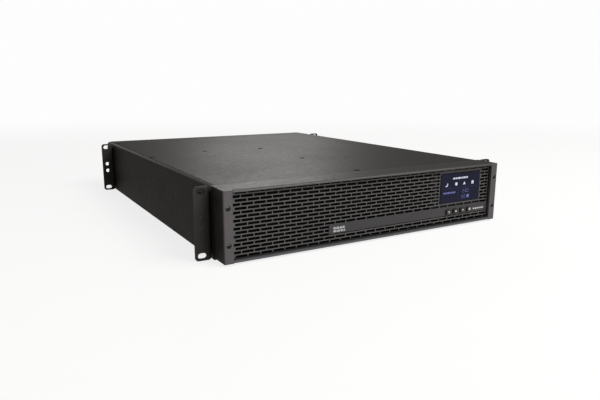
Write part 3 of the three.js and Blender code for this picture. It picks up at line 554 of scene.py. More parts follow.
ly0 = by1 + 0.12
lid = G().prism("x", [(ly0, H - SHEET), (ly1 - SHEET, H - SHEET), (ly1 - SHEET, lz0), (ly1, lz0), (ly1, H - 0.6), (ly1 - 0.2, H - 0.2), (ly1 - 0.6, H), (ly0, H)], lx0 + 0.8, lx1 - 0.8)
LID_SCREWS = [(-6, 45), (-8, 187), (-9, 331), (-109, 344), (-209.8, 309), (-209.8, 536), (209.8, 309), (209.8, 536)]
sink = G()
for x, y in LID_SCREWS:
    sink.lathe("z", (x, y, H), [(2.0, -3), (2.0, -0.95), (3.9, -0.62), (4.5, 0.0), (4.5, 1.0)], 28)
lid = boolean(lid, sink)
for f in lid.bm.faces:  # countersinks given the near-black finish as painted shade
    f.normal_update()
    c_ = f.calc_center_median()
    if H - 1.1 < c_.z < H - 0.03 and any((c_.x - x) ** 2 + (c_.y - y) ** 2 < 4.7 ** 2 for x, y in LID_SCREWS):
        f.material_index = 1
make("lid", lid, ["lid", "shade_black_wall"], "chassis", 0.28, 2, ("top_cover",))
g = G()
for x, y in LID_SCREWS:
    screw_head(g, "z", (x, y, H - 0.62), 3.5, 1.0, 1, "flat", 24, random.uniform(0, 1.5))
make("lid_screws", g, "lidscrew", "chassis", 0)

# floor screws
g = G()
for x, y in ((-206, 60), (-206, 300), (-206, 560), (206, 60), (206, 300), (206, 560), (-4, 60), (-4, 300), (-4, 545)):
    screw_head(g, "z", (x, y, 0.0), 3.2, 0.9, -1, "flat", 24, random.uniform(0, 1.5))
make("floor_screws", g, "screw", "chassis", 0)

# ------------------------------------------------------------------ rack ears
EAR_T = 2.0
LEG_Z = (5.5, 80.0)


def ear_piece(node, side):
    x0, x1, y0, y1, z0, z1 = cad(node)
    a, b = (x0, x1) if side > 0 else (-x1, -x0)  # a: at the chassis, b: outer edge
    t = EAR_T
    out = [(a, y1)] + arc(a + 3.0, y0 + 3.0, 3.0, 180, 270, 6) + [(b, y0), (b, y0 + t)] + arc(a + t + 1.4, y0 + t + 1.4, 1.4, 270, 180, 5) + [(a + t, y1)]
    out = [(side * x, y) for x, y in out]
    e = G().prism("z", out, z0, z1)
    cutter = G()
    hx = (px1 + 0.0) + 12.2  # hole line, 465.4 mm between the two sides
    for z in (z0 + 5.95, z1 - 5.85):
        cutter.prism("y", [(side * (hx + u), z + v) for u, v in arc(2.1, 0, 3.3, -90, 90, 9) + arc(-2.1, 0, 3.3, 90, 270, 9)], y0 - 2, y0 + t + 2)
    for z in (z0 + 37.7, z0 + 50.4):
        cutter.cyl("y", (side * hx, y0 - 2, z), 3.3, t + 4, 28)
    e = boolean(e, cutter)
    # rounded outer corners
    c = 4.5
    corner = G()
    for zc, d in ((z1 - c, 1), (z0 + c, -1)):
        pts = [(side * (b - c + c * math.sin(math.radians(q))), zc + d * c * math.cos(math.radians(q))) for q in range(0, 91, 10)]
        pts += [(side * (b + 3), zc), (side * (b + 3), zc + d * (c + 3)), (side * (b - c), zc + d * (c + 3))]
        corner.prism("y", pts, y0 - 2, y0 + t + 2)
    e = boolean(e, corner)
    # a leg shorter than the flange, then the inner corners of the flange
    corner = G()
    for za, zb in ((z0 - 5, z0 + LEG_Z[0]), (z0 + LEG_Z[1], z1 + 5)):
        corner.box(*sorted((side * (a - 2), side * (a + 7))), y0 + t, y1 + 5, za, zb)
    e = boolean(e, corner)
    corner = G()
    for zc, d in ((z1 - c, 1), (z0 + c, -1)):
        pts = [(side * (a + c - c * math.sin(math.radians(q))), zc + d * c * math.cos(math.radians(q))) for q in range(0, 91, 10)]
        pts += [(side * (a - 3), zc), (side * (a - 3), zc + d * (c + 3)), (side * (a + c), zc + d * (c + 3))]
        corner.prism("y", pts, y0 - 2, y0 + t + 0.5)
    e = boolean(e, corner)
    # softened rear corners of the leg
    corner = G()
    for zc, d in ((z0 + LEG_Z[1] - 3, 1), (z0 + LEG_Z[0] + 3, -1)):
        pts = [(y1 - 3 + 3 * math.sin(math.radians(q)), zc + d * 3 * math.cos(math.radians(q))) for q in range(0, 91, 15)]
        pts += [(y1 + 3, zc), (y1 + 3, zc + d * 6), (y1 - 3, zc + d * 6)]
        corner.prism("x", pts, *(sorted((side * (a - 2), side * (a + t + 2)))))
    e = boolean(e, corner)
    for f in e.bm.faces:  # painted shade on the walls of the holes and slots
        f.normal_update()
        c_ = f.calc_center_median()
        if abs(f.normal.y) < 0.3 and y0 < c_.y < y0 + t and abs(c_.x - side * hx) < 5.6 and z0 + 1.5 < c_.z < z1 - 1.5:
            f.material_index = 1
    make(node + "_bracket", e, ["ear", "shade_black_wall"], "chassis", 0.22, 2, (node,))
    s = G()
    for dy, z in ((14, 16), (14, 72), (30, 16), (30, 72)):
        screw_head(s, "x", (side * (a + t), y0 + dy, z), 3.4, 1.7, side, "pan", 24, random.uniform(0, 1.5))
    make(node + "_screws", s, "screw", "chassis", 0)


for n, s in (("front_ear_left", -1), ("front_ear_right", 1), ("rear_ear_left", -1), ("rear_ear_right", 1)):
    ear_piece(n, s)

# ------------------------------------------------------------------ bezel
POST = 207.5
LIP = 5.9  # height of the bottom rail's front face
BSX, BSZ = 213.6, (23.0, 66.4)
# surround: top skin, bottom rail, side walls and the channel behind each end cap
top = G().prism("x", [(2.5, bz1 - 1.9), (by1, bz1 - 1.9), (by1, H - 0.08), (by1 - 16, H - 0.1), (by1 - 26, bz1)] + arc(2.7, bz1 - 2.7, 2.7, 90, 180, 9) + [(0.25, bz1 - 3.1), (2.2, bz1 - 3.1), (2.5, bz1 - 2.8)], bx0, bx1)
low = G().prism("x", [(0.0, bz0 + 1.5), (0.25, bz0 + 0.7), (0.8, bz0 + 0.2), (1.6, bz0), (28.5, bz0), (28.5, bz0 + 1.9), (3.4, bz0 + 1.9), (2.6, bz0 + LIP), (0.5, bz0 + LIP), (0.12, bz0 + LIP - 0.15), (0, bz0 + LIP - 0.6)], bx0, bx1)
sur = boolean(top, low, "UNION")
for s in (-1, 1):
    wall = G().box(*sorted((s * bx1, s * (bx1 - 2.2))), 3.0, 28.5, bz0 + 0.4, bz1 - 0.4)
    sur = boolean(sur, wall, "UNION")
    inner = G().box(*sorted((s * POST, s * (POST + 1.6))), 3.0, 9.2, bz0 + 0.4, bz1 - 0.4)
    sur = boolean(sur, inner, "UNION")
    rib = G().box(*sorted((s * (POST + 1.0), s * (bx1 - 1.0))), 7.4, 9.2, bz0 + 0.4, bz1 - 0.4)
    sur = boolean(sur, rib, "UNION")
cutter = G()
for s in (-1, 1):
    for z in BSZ:
        cutter.cyl("y", (s * BSX, 5, z), 2.1, 10, 24)
    # room for the separate end cap
    cutter.box(*sorted((s * (POST - 0.05), s * (bx1 + 2))), -2, 3.25, bz0 - 0.5, bz1 + 0.5)
# lifting recess in the left side
cutter.prism("x", rrect(15, 23, 66, 78, 2.2, 4), bx0 - 2, bx0 + 1.2)
cutter.prism("x", rrect(15, 23, 66, 78, 2.2, 4), bx1 - 1.2, bx1 + 2)
sur = boolean(sur, cutter)
for f in sur.bm.faces:  # the rounded front edge is painted a little paler as a highlight
    c_ = f.calc_center_median()
    if c_.y < 2.3 and c_.z > bz1 - 3.0 and c_.z < bz1 - 0.02:
        f.material_index = 1
    # the bottom rail's front takes the rail finish with its painted shade
    elif c_.y < 3.0 and c_.z < bz0 + LIP + 0.1 and abs(c_.x) < POST + 1:
        f.material_index = 2
    elif c_.z > bz1 - 0.05 and c_.y > 2.0:
        f.material_index = 3
make("bezel_surround", sur, ["bezel", "lip", "rail", "skin"], "bezel", 0.25, 2, ("bezel_frame",))
for s, nm in ((-1, "left"), (1, "right")):
    cap = G().prism("z", [(s * POST, 3.0), (s * POST, 0.9), (s * (POST + 0.3), 0.25), (s * (POST + 0.9), 0), (s * (bx1 - 1.1), 0), (s * (bx1 - 0.35), 0.3), (s * bx1, 1.0), (s * bx1, 3.0)], bz0, bz1)
    for z in BSZ:
        cap = boolean(cap, G().lathe("y", (s * BSX, 0, z), [(3.05, 2.2), (3.05, 0.25), (3.3, -0.1), (3.3, -2)], 36))
        cap = boolean(cap, G().cyl("y", (s * BSX, -2, z), 2.1, 8, 24))
    make("end_cap_" + nm, cap, "cap", "bezel", 0.3, 3)
    for z, lv in zip(BSZ, ("lower", "upper")):
        n = f"bezel_screw_{nm}_{lv}"
        a = cad(n)
        g = G()
        ph = random.uniform(0, 1.5)
        head = G().lathe("y", (s * BSX, a[2] + 1.9, z), [(0.001, 0), (2.75, 0), (2.75, -1.0), (2.45, -1.55), (1.9, -1.85), (0.001, -1.9)], 36)
        hexa = [(s * BSX + 1.6 * math.cos(ph + math.radians(60 * q)), z + 1.6 * math.sin(ph + math.radians(60 * q))) for q in range(6)]
        head = boolean(head, G().prism("y", hexa, a[2] - 1.0, a[2] + 1.3))
        for f in head.bm.faces:  # painted shade on the socket's inside
            f.normal_update()
            c_ = f.calc_center_median()
            if (c_.x - s * BSX) ** 2 + (c_.z - z) ** 2 < 1.5 ** 2 and c_.y > a[2] + 0.05 and c_.y < a[2] + 1.5:
                f.material_index = 1
        g.add(head)
        g.lathe("y", (s * BSX, a[2] + 1.95, z), [(1.55, 0)] + [(1.55 + 0.25 * ((k % 2)), 24 + k * 0.45) for k in range(14)] + [(1.0, a[3] - a[2] - 2.2)], 14)
        make("captive_screw_" + nm + "_" + lv, g, ["capscrew", "shade_black_wall"], "bezel", 0, replaces=(n,))

# grille insert: a flat pattern of bars grown into depth
dx0, dx1, dy0, dy1, dz0, dz1 = cad("lcd_lens")
BUT = [cad(f"button_{k}") for k in (1, 2, 3, 4)]
bcx = [(b[0] + b[1]) / 2 for b in BUT]
bcz = (BUT[0][4] + BUT[0][5]) / 2
BAR, BAR_X, PX, PZ = 1.45, 1.3, 16.14, 4.69
SL_H = PZ - BAR
FIRST_Z = bz0 + 4.05
PHASE = 14.0
BAND_X0 = -76.0
BAND = (FIRST_Z + PZ + SL_H, FIRST_Z + 5 * PZ)  # takes the place of three slot rows
STRIP = (17.3, 29.8)  # the raised smooth strip
GR_D = 1.7  # depth of the bars


def grille():
    bm = bmesh.new()
    xs_all, rows = {gx0, gx1}, []
    openings = [(dx0 - 0.5, dx1 + 0.5, dz0 - 0.5, dz1 + 0.5)]
    openings += [(x - 4.6, x + 4.6, bcz - 3.8, bcz + 3.8) for x in bcx]
    openings.append((BAND_X0 + 0.6, gx1 - 1.6, 15.8, 16.8))  # groove under the smooth strip
    nrow = 17
    for i in range(nrow):
        z0 = FIRST_Z + i * PZ
        z1 = min(z0 + SL_H, gz1 - 0.9)
        off = PHASE + (0 if i % 2 else PX / 2)
        x = off - PX * math.ceil((off - gx0) / PX)
        while x < gx1:
            a, b = max(x + BAR_X / 2, gx0 + 1.2), min(x + PX - BAR_X / 2, gx1 - 1.2)
            x += PX
            if b - a < 2.0:
                continue
            segs = [(a, b)]
            # keep clear of the smooth strip and of the display's frame
            blocks = []
            if z1 > BAND[0] + 0.1 and z0 < BAND[1] - 0.1:
                blocks.append((BAND_X0, 999))
            if z1 > dz0 - 1.6 and z0 < dz1 + 1.6:
                blocks.append((dx0 - 1.9, dx1 + 1.9))
            for p, q in blocks:
                new = []
                for u, v in segs:
                    if v <= p or u >= q:
                        new.append((u, v))
                    else:
                        if p - u > 1.6:
                            new.append((u, p))
                        if v - q > 1.6:
                            new.append((q, v))
                segs = new
            openings += [(u, v, z0, z1) for u, v in segs if v - u > 1.6]
    # cells between all the cut lines; T-joints are avoided by cutting each strip at its neighbours' lines
    zs = sorted({round(v, 4) for o in openings for v in o[2:]} | {round(gz0, 4), round(gz1, 4)})
    strips = list(zip(zs, zs[1:]))
    per = []
    for a, b in strips:
        mid = (a + b) / 2
        per.append(sorted((round(o[0], 4), round(o[1], 4)) for o in openings if o[2] < mid < o[3]))
    # merge neighbouring strips with the same openings
    merged = []
    for (a, b), ops in zip(strips, per):
        if merged and merged[-1][2] == ops:
            merged[-1][1] = b
        else:
            merged.append([a, b, ops])
    vert = {}

    def V(x, z):
        k = (round(x, 4), round(z, 4))
        if k not in vert:
            vert[k] = bm.verts.new((k[0], gy0, k[1]))
        return vert[k]

    def edges_at(i):
        s = set()
        for j in (i - 1, i):
            if 0 <= j < len(merged):
                for u, v in merged[j][2]:
                    s |= {u, v}
        return s

    for i, (a, b, ops) in enumerate(merged):
        lowx, highx = edges_at(i), edges_at(i + 1)
        solid, x = [], round(gx0, 4)
        for u, v in ops:
            if u > x:
                solid.append((x, u))
            x = v
        if round(gx1, 4) > x:
            solid.append((x, round(gx1, 4)))
        for u, v in solid:
            bot = sorted({u, v} | {q for q in lowx if u < q < v})
            topx = sorted({u, v} | {q for q in highx if u < q < v}, reverse=True)
            bm.faces.new([V(q, a) for q in bot] + [V(q, b) for q in topx])
    ret = bmesh.ops.extrude_face_region(bm, geom=bm.faces[:])
    for v in (e for e in ret["geom"] if isinstance(e, bmesh.types.BMVert)):
        v.co.y += GR_D
    for f in bm.faces:
        f.normal_update()
        ins = abs(f.normal.y) < 0.5
        # painted shade: every wall inside the slots, the rim and the key openings, and the back face take the
        # near-black finish; the front face keeps the moulding's colour
        f.material_index = 1 if ins or f.calc_center_median().y > gy0 + GR_D - 0.01 else 0
    g = G()
    g.bm.free()
    g.bm = bm
    return g


gr = make("grille_insert", grille(), ["grille", "shade_black_wall"], "bezel", 0.12, 2, ("bezel_grille",), limit=60)
# the smooth strip: a thin raised face with the key openings in it
g = G().prism("y", rrect(BAND_X0, gx1 + 0.2, STRIP[0], STRIP[1], 0.6, 3), gy0 - 0.7, gy0 + 0.2)
cutter = G()
for x in bcx:
    cutter.prism("y", rrect(x - 4.6, x + 4.6, bcz - 3.8, bcz + 3.8, 1.4, 4), gy0 - 3, gy0 + 3)
make("smooth_strip", boolean(g, cutter), "band", "bezel", 0.2, 3)

# painted shade: near-black plates behind the grille, so nothing bright shows through
g = G()
g.box(gx0 + 1, dx0 - 5.4, gy1 + 1.3, gy1 + 1.9, gz0 + 1, gz1 - 1)
make("shade_sheet_left", g, "inner", "bezel", 0.1)
g = G()
g.box(dx1 + 5.4, gx1 - 1, gy1 + 1.3, gy1 + 1.9, gz0 + 1, gz1 - 1)
make("shade_sheet_right", g, "inner", "bezel", 0.1)
g = G()
g.box(dx0 - 4.9, dx1 + 4.9, gy1 + 1.3, gy1 + 1.9, gz0 + 1, 14.2)
make("shade_sheet_low", g, "inner", "bezel", 0.1)

# generic badge on the smooth strip: two rows of small blank bars
g = G()
for xa, xb in ((-70, -66.3), (-65.5, -61.2), (-60.4, -56.6), (-55.8, -52.6)):
    g.prism("y", rrect(xa, xb, 22.6, 25.5, 0.35), gy0 - 0.95, gy0 - 0.65)
for xa, xb in ((-70, -65.0), (-64.1, -59.6), (-58.7, -54.8), (-53.9, -51.8)):
    g.prism("y", rrect(xa, xb, 18.8, 21.4, 0.35), gy0 - 0.95, gy0 - 0.65)
make("badge_bars", g, "badge", "bezel", 0.08)
g = G()
for k in range(5):
    g.prism("y", rrect(178.6 + k * 4.5, 182.0 + k * 4.5, 20.5, 22.5, 0.35), gy0 - 0.88, gy0 - 0.65)
make("level_marks", g, "print", "bezel", 0.05)

# ------------------------------------------------------------------ display
g = G().prism("y", rrect(dx0, dx1, dz0, dz1, 1.6, 6), dy0, dy1)
make("display_window", g, "lens", "chassis", 0.35, 3, ("lcd_lens",))
uy0, uy1 = dy0 - 0.06, dy0 + 0.25


def ui(name, shapes, mat):
    q = G()
    for pts in shapes:
        q.prism("y", pts, uy0, uy1)
    make(name, q, mat, "chassis", 0)


ux, uz = dx0, dz0  # lower left corner of the window
w_, h_ = dx1 - dx0, dz1 - dz0


def seven(x, z, w, h, segs, t=0.55):
    """Seven-segment digit, lower left at x, z."""
    S = {"a": (x + t, x + w - t, z + h - t, z + h), "g": (x + t, x + w - t, z + h / 2 - t / 2, z + h / 2 + t / 2), "d": (x + t, x + w - t, z, z + t),
         "f": (x, x + t, z + h / 2, z + h - t / 2), "b": (x + w - t, x + w, z + h / 2, z + h - t / 2),
         "e": (x, x + t, z + t / 2, z + h / 2), "c": (x + w - t, x + w, z + t / 2, z + h / 2)}
    e = 0.04  # neighbouring segments do not touch
    return [[(a + e, c + e), (b - e, c + e), (b - e, d - e), (a + e, d - e)] for a, b, c, d in (S[k] for k in segs)]


DIG = {"0": "abcdef", "1": "bc", "2": "abged", "3": "abgcd", "5": "afgcd", "8": "abcdefg", "9": "abcdfg"}
white = []
# status line at the top: blank segments
for k, wd in enumerate((4.2, 3.0, 5.2, 2.6, 4.6, 3.4)):
    x = ux + 23.25 + sum((4.2, 3.0, 5.2, 2.6, 4.6, 3.4)[:k]) + k * 1.2
    white.append([(x, uz + 33.6), (x + wd, uz + 33.6), (x + wd, uz + 36.0), (x, uz + 36.0)])
# symbols: crescent, ring, triangle, square
cx, cz = ux + 10.8, uz + 26.6
cres = [(cx + 2.9 * math.cos(math.radians(a)), cz + 2.9 * math.sin(math.radians(a))) for a in range(-150, 61, 15)]
cres += [(cx - 1.5 + 3.0 * math.cos(math.radians(a)), cz + 1.3 + 3.0 * math.sin(math.radians(a))) for a in range(40, -121, -15)]
white.append(cres)
cx = ux + 30
white.append([(cx + 2.4 * math.cos(math.radians(a)), cz + 2.4 * math.sin(math.radians(a))) for a in range(0, 360, 18)])
cx = ux + 46.1
white.append([(cx - 2.5, cz - 2.0), (cx + 2.5, cz - 2.0), (cx, cz + 2.4)])
cx = ux + 62.75
white.append([(cx - 2.2, cz - 2.2), (cx + 2.2, cz - 2.2), (cx + 2.2, cz + 2.2), (cx - 2.2, cz + 2.2)])
ui("display_symbols", white, "ui_white")
blue = []
for k, wd in enumerate((3.4, 2.2, 3.8, 2.6, 3.0, 3.6)):
    x = ux + 5.6 + sum((3.4, 2.2, 3.8, 2.6, 3.0, 3.6)[:k]) + k * 0.9
    blue.append([(x, uz + 13.4), (x + wd, uz + 13.4), (x + wd, uz + 15.8), (x, uz + 15.8)])
for k, d in enumerate("230"):
    blue += seven(ux + 42.5 + k * 4.6, uz + 12.7, 3.4, 5.0, DIG[d])
for k, d in enumerate("50"):
    blue += seven(ux + 41 + k * 4.6, uz + 4.6, 3.4, 5.0, DIG[d])
blue.append([(ux + 52, uz + 4.8), (ux + 57, uz + 4.8), (ux + 57, uz + 9.2), (ux + 52, uz + 9.2)])
ui("display_readout", blue, "ui_blue")
fr = []
for a, b, c, d in ((ux + 5, ux + 72, uz + 20.6, uz + 20.9), (ux + 35.0, ux + 35.3, uz + 4, uz + 20.6)):
    fr.append([(a, c), (b, c), (b, d), (a, d)])
ui("display_lines", fr, "ui_dim")
finish_node("lcd_module", "black", 0.4)
finish_node("control_housing", "black", 0.3)
finish_node("control_board", "board", 0.12)
finish_node("ribbon_cable", "ribbon", 0.08)

# keys with printed symbols
for k, b in enumerate(BUT):
    x, f = bcx[k], b[2]
    hw, hh = 4.2, 3.4
    g = G()
    g.prism("y", rrect(x - hw, x + hw, bcz - hh, bcz + hh, 1.1, 5), f + 0.0, 14.0)
    g = boolean(g, G().lathe("y", (x, f, bcz), [(2.7, -1), (2.7, 0.0), (2.1, 0.28), (0.001, 0.42)], 32))
    rest_ = G().box(x - hw - 1.2, x + hw + 1.2, 13.9, 15.2, bcz - hh - 1.2, bcz + hh + 1.2)
    g = boolean(g, rest_, "UNION")
    g.cyl("y", (x, 15.3, bcz), 1.6, 2.1, 16)
    make(f"key_{k + 1}", g, "button", f"button_{k + 1}", 0.35, 3, (f"button_{k + 1}",))
    q = G()
    ya, yb = f - 0.02, f + 0.5
    if k == 0:  # ring with a bar
        q.prism("y", [(x + 1.7 * math.cos(math.radians(a)), bcz - 0.2 + 1.7 * math.sin(math.radians(a))) for a in range(125, 416, 15)] + [(x + 1.2 * math.cos(math.radians(a)), bcz - 0.2 + 1.2 * math.sin(math.radians(a))) for a in range(415, 124, -15)], ya, yb)
        q.box(x - 0.3, x + 0.3, ya, yb, bcz + 0.3, bcz + 2.3)
    elif k == 1:
        q.prism("y", [(x - 1.9, bcz - 1.2), (x + 1.9, bcz - 1.2), (x, bcz + 1.6)], ya, yb)
    elif k == 2:
        q.prism("y", [(x - 1.9, bcz + 1.2), (x, bcz - 1.6), (x + 1.9, bcz + 1.2)], ya, yb)
    else:
        q.box(x - 1.7, x + 1.7, ya, yb, bcz - 1.7, bcz + 1.7)
    make(f"key_symbol_{k + 1}", q, "print", f"button_{k + 1}", 0)

# ------------------------------------------------------------------ plate behind the bezel, bay wall
fx0, fx1, fy0, fy1, fz0, fz1 = cad("front_plate")
tx0, tx1, ty0, ty1, tz0, tz1 = cad("battery_tray")
plate = G().prism("y", [(fx0, fz0), (fx1, fz0), (fx1, fz1 - 3.1), (fx1 - 5.2, fz1), (fx0 + 5.2, fz1), (fx0, fz1 - 3.1)], fy0, fy1)
plate = boolean(plate, G().box(tx0 - 0.6, tx1 + 0.6, fy0 - 3, fy1 + 3, -1, tz1 + 0.4))
cutter = G()
for k in range(16):
    for z in (10, 34, 58):
        cutter.prism("y", rrect(8 + k * 5.6, 11.2 + k * 5.6, z, z + 18, 1.5, 3), fy0 - 3, fy1 + 3)
for z0, z1 in ((12, 40), (46, 78)):
    cutter.prism("y", rrect(108, 184, z0, z1, 3, 4), fy0 - 3, fy1 + 3)
plate = boolean(plate, cutter)
cutter = G()
for s in (-1, 1):
    for z in BSZ:
        cutter.cyl("y", (s * BSX, fy0 - 3, z), 2.4, 8, 24)
make("front_plate_sheet", boolean(plate, cutter), "zinc", "chassis", 0.15, 2, ("front_plate",))
g = G()
for x, z in ((52, 5.4), (102, 81.0), (199, 8), (199, 80)):
    screw_head(g, "y", (x, fy0, z), 3.0, 1.5, -1, "pan", 24, random.uniform(0, 1.5))
make("front_plate_screws", g, "screwzinc", "chassis", 0)
finish_node("bay_divider", "zinc", 0.25)

# ------------------------------------------------------------------ rear panel
FANS = [cad(f"fan_frame_{n}") for n in (1, 2)]
FC = [((a[0] + a[1]) / 2, (a[4] + a[5]) / 2) for a in FANS]
OUT = [cad(f"outlet_bank_{n}") for n in (1, 2)]
INL = cad("ac_inlet")
BRK = [cad(f"breaker_body_{n}") for n in (1, 2)]
BC = [((a[0] + a[1]) / 2, (a[4] + a[5]) / 2) for a in BRK]
SLT, COM, EXP, STU = cad("card_slot_cover"), cad("comm_ports"), cad("battery_expansion_port"), cad("ground_stud")
STC = ((STU[0] + STU[1]) / 2, (STU[4] + STU[5]) / 2)
fy = ry1 + 0.3  # every flange on the panel starts here
panel = G().box(rx0, rx1, ry0, ry1, rz0, rz1)
cutter = G()
ya_, yb_ = ry0 - 3, ry1 + 3
for cx, cz in FC:
    cutter.cyl("y", (cx, ya_, cz), 37.0, yb_ - ya_, 72)
    for u in (-35.75, 35.75):
        for v in (-35.75, 35.75):
            cutter.cyl("y", (cx + u, ya_, cz + v), 2.1, yb_ - ya_, 16)
for a in OUT:
    cutter.prism("y", rrect(a[0] + 2, a[1] - 2, a[4] + 2, a[5] - 2, 1.5, 3), ya_, yb_)
cutter.prism("y", rrect(INL[0] + 4, INL[1] - 4, INL[4] + 3, INL[5] - 3, 2, 3), ya_, yb_)
for cx, cz in BC:
    cutter.cyl("y", (cx, ya_, cz), 7.8, yb_ - ya_, 32)
cutter.prism("y", rrect(SLT[0] + 9, SLT[1] - 9, SLT[4] + 2.5, SLT[5] - 2.5, 1.5, 3), ya_, yb_)
for x in (SLT[0] + 4.5, SLT[1] - 4.5):
    cutter.cyl("y", (x, ya_, 67), 2.1, yb_ - ya_, 20)
cutter.prism("y", rrect(COM[0] + 2, COM[1] - 2, COM[4] + 2, COM[5] - 2, 1.2, 3), ya_, yb_)
cutter.prism("y", rrect(EXP[0] + 2, EXP[1] - 2, EXP[4] + 2, EXP[5] - 2, 1.2, 3), ya_, yb_)
cutter.cyl("y", (STC[0], ya_, STC[1]), 2.9, yb_ - ya_, 24)
for k in range(28):  # air slots along the lower edge
    x = -204 + k * 5.3
    cutter.prism("y", rrect(x, x + 2.6, 4.6, 13.4, 1.25, 4), ya_, yb_)
make("rear_panel_sheet", boolean(panel, cutter), "powder", "chassis", 0.18, 2, ("rear_panel",))
g = G()
for x, z in ((-214.5, 8), (-214.5, 49), (-214.5, 76), (34, 8), (34, 77), (213, 8), (213, 78), (121.5, 6.5)):
    screw_head(g, "y", (x, ry1, z), 3.0, 1.4, 1, "pan", 24, random.uniform(0, 1.5))
make("rear_panel_screws", g, "screw", "chassis", 0)

# ------------------------------------------------------------------ fans
for n, (cx, cz) in enumerate(FC, 1):
    a = FANS[n - 1]
    ya, yb = a[2], a[3]
    fr = G().prism("y", rrect(a[0], a[1], a[4], a[5], 4, 5), ya, ya + 3.6)
    fr = boolean(fr, G().prism("y", rrect(a[0], a[1], a[4], a[5], 4, 5), yb - 3.6, yb), "UNION")
    fr = boolean(fr, G().cyl("y", (cx, ya + 0.2, cz), 39.6, yb - ya - 0.4, 72), "UNION")
    posts = G()
    for u in (-35.75, 35.75):
        for v in (-35.75, 35.75):
            posts.cyl("y", (cx + u, ya + 0.5, cz + v), 4.0, yb - ya - 1.0, 20)
    fr = boolean(fr, posts, "UNION")
    cutter = G().lathe("y", (cx, ya, cz), [(38.9, -1), (38.9, 0.0), (37.5, 2.6), (37.5, yb - ya - 2.6), (38.9, yb - ya), (38.9, yb - ya + 1)], 72)
    for u in (-35.75, 35.75):
        for v in (-35.75, 35.75):
            cutter.cyl("y", (cx + u, ya - 1, cz + v), 2.2, yb - ya + 2, 16)
    fr = boolean(fr, cutter)
    hub = G().lathe("y", (cx, yb - 3, cz), [(0.001, 0), (16, 0), (16, 2.4), (15.4, 3.0), (12.5, 3.0), (12.3, 2.7), (0.001, 2.7)], 48)
    for k in range(4):
        t0 = 0.4 + k * math.pi / 2
        sec = []
        for i in range(7):
            r = 15 + i * 23.4 / 6
            t = t0 + 0.045 * i
            c, s = math.cos(t), math.sin(t)
            w = 1.9 - 0.08 * i
            sec.append([(cx + r * c - w * s, yb - 3.0, cz + r * s + w * c), (cx + r * c + w * s, yb - 3.0, cz + r * s - w * c), (cx + r * c + w * s * 0.6, yb - 0.3, cz + r * s - w * c * 0.6), (cx + r * c - w * s * 0.6, yb - 0.3, cz + r * s + w * c * 0.6)])
        hub.loft(sec)
    fr.add(hub)
    make(f"fan_shroud_{n}", fr, "black", "chassis", 0.25, 2, (f"fan_frame_{n}",))
    # rotor: cup hub and seven twisted blades
    ro = G().lathe("y", (cx, ya + 1, cz), [(0.001, 0), (15.6, 0), (16.7, 0.5), (17, 1.4), (17, 19.2), (16.4, 20), (0.001, 20)], 48)
    for k in range(7):
        rings = []
        for i in range(8):
            r = 16.2 + (35.2 - 16.2) * i / 7
            f = i / 7
            half, hh = math.radians(21 - 2.5 * f), 8.2 - 2.6 * f
            base = 2 * math.pi * k / 7 + math.radians(9 * f * f)
            up_, dn_ = [], []
            for j in range(9):
                t = -1 + 2 * j / 8
                th = 0.55 * math.sqrt(max(0.0, 1 - t * t)) + 0.12
                ang = base + t * half
                y = ya + 11.5 + t * hh + 1.5 * (1 - t * t) * (1 - 0.4 * f)
                c, s = math.cos(ang), math.sin(ang)
                up_.append((cx + r * c, y + th, cz + r * s))
                dn_.append((cx + r * c, y - th, cz + r * s))
            rings.append(up_ + dn_[::-1])
        ro.loft(rings)
    make(f"fan_impeller_{n}", ro, "black", f"fan_rotor_{n}", 0, 2, (f"fan_rotor_{n}",), sharp=50)
    # wire guard, with its four screws
    gu = G()
    yw = fy + 0.8
    for r in (8.5, 15.5, 22.5, 29.5, 36.3):
        gu.tube([(cx + r * math.cos(2 * math.pi * q / 64), yw, cz + r * math.sin(2 * math.pi * q / 64)) for q in range(64)], 0.78, 8, True)
    for q in (1, -1):
        d = 35.75 - 3.2 * 0.7071
        gu.tube([(cx - d, yw + 1.3, cz - q * d), (cx - 28, yw + 1.5, cz - q * 28), (cx + 28, yw + 1.5, cz + q * 28), (cx + d, yw + 1.3, cz + q * d)], 0.85, 8)
    for u in (-35.75, 35.75):
        for v in (-35.75, 35.75):
            gu.tube([(cx + u + 3.4 * math.cos(2 * math.pi * q / 24), yw + 0.1, cz + v + 3.4 * math.sin(2 * math.pi * q / 24)) for q in range(24)], 0.8, 8, True)
    make(f"fan_wire_guard_{n}", gu, "brushed", "chassis", 0, 2, (f"fan_guard_{n}",), sharp=60)
    sc_ = G()
    for u in (-35.75, 35.75):
        for v in (-35.75, 35.75):
            screw_head(sc_, "y", (cx + u, yw + 0.9, cz + v), 3.5, 1.8, 1, "pan", 24, random.uniform(0, 1.5))
            sc_.cyl("y", (cx + u, yw - 10, cz + v), 1.7, 10.9, 12)
    make(f"fan_screws_{n}", sc_, "screw", "chassis", 0)

# ------------------------------------------------------------------ outlets and inlet
def socket_outline(cx, cz, gr=0.0):
    return [(cx - 12 - gr, cz - 8 - gr), (cx + 12 + gr, cz - 8 - gr), (cx + 12 + gr, cz + 4), (cx + 8 + gr * 0.4, cz + 8 + gr), (cx - 8 - gr * 0.4, cz + 8 + gr), (cx - 12 - gr, cz + 4)]


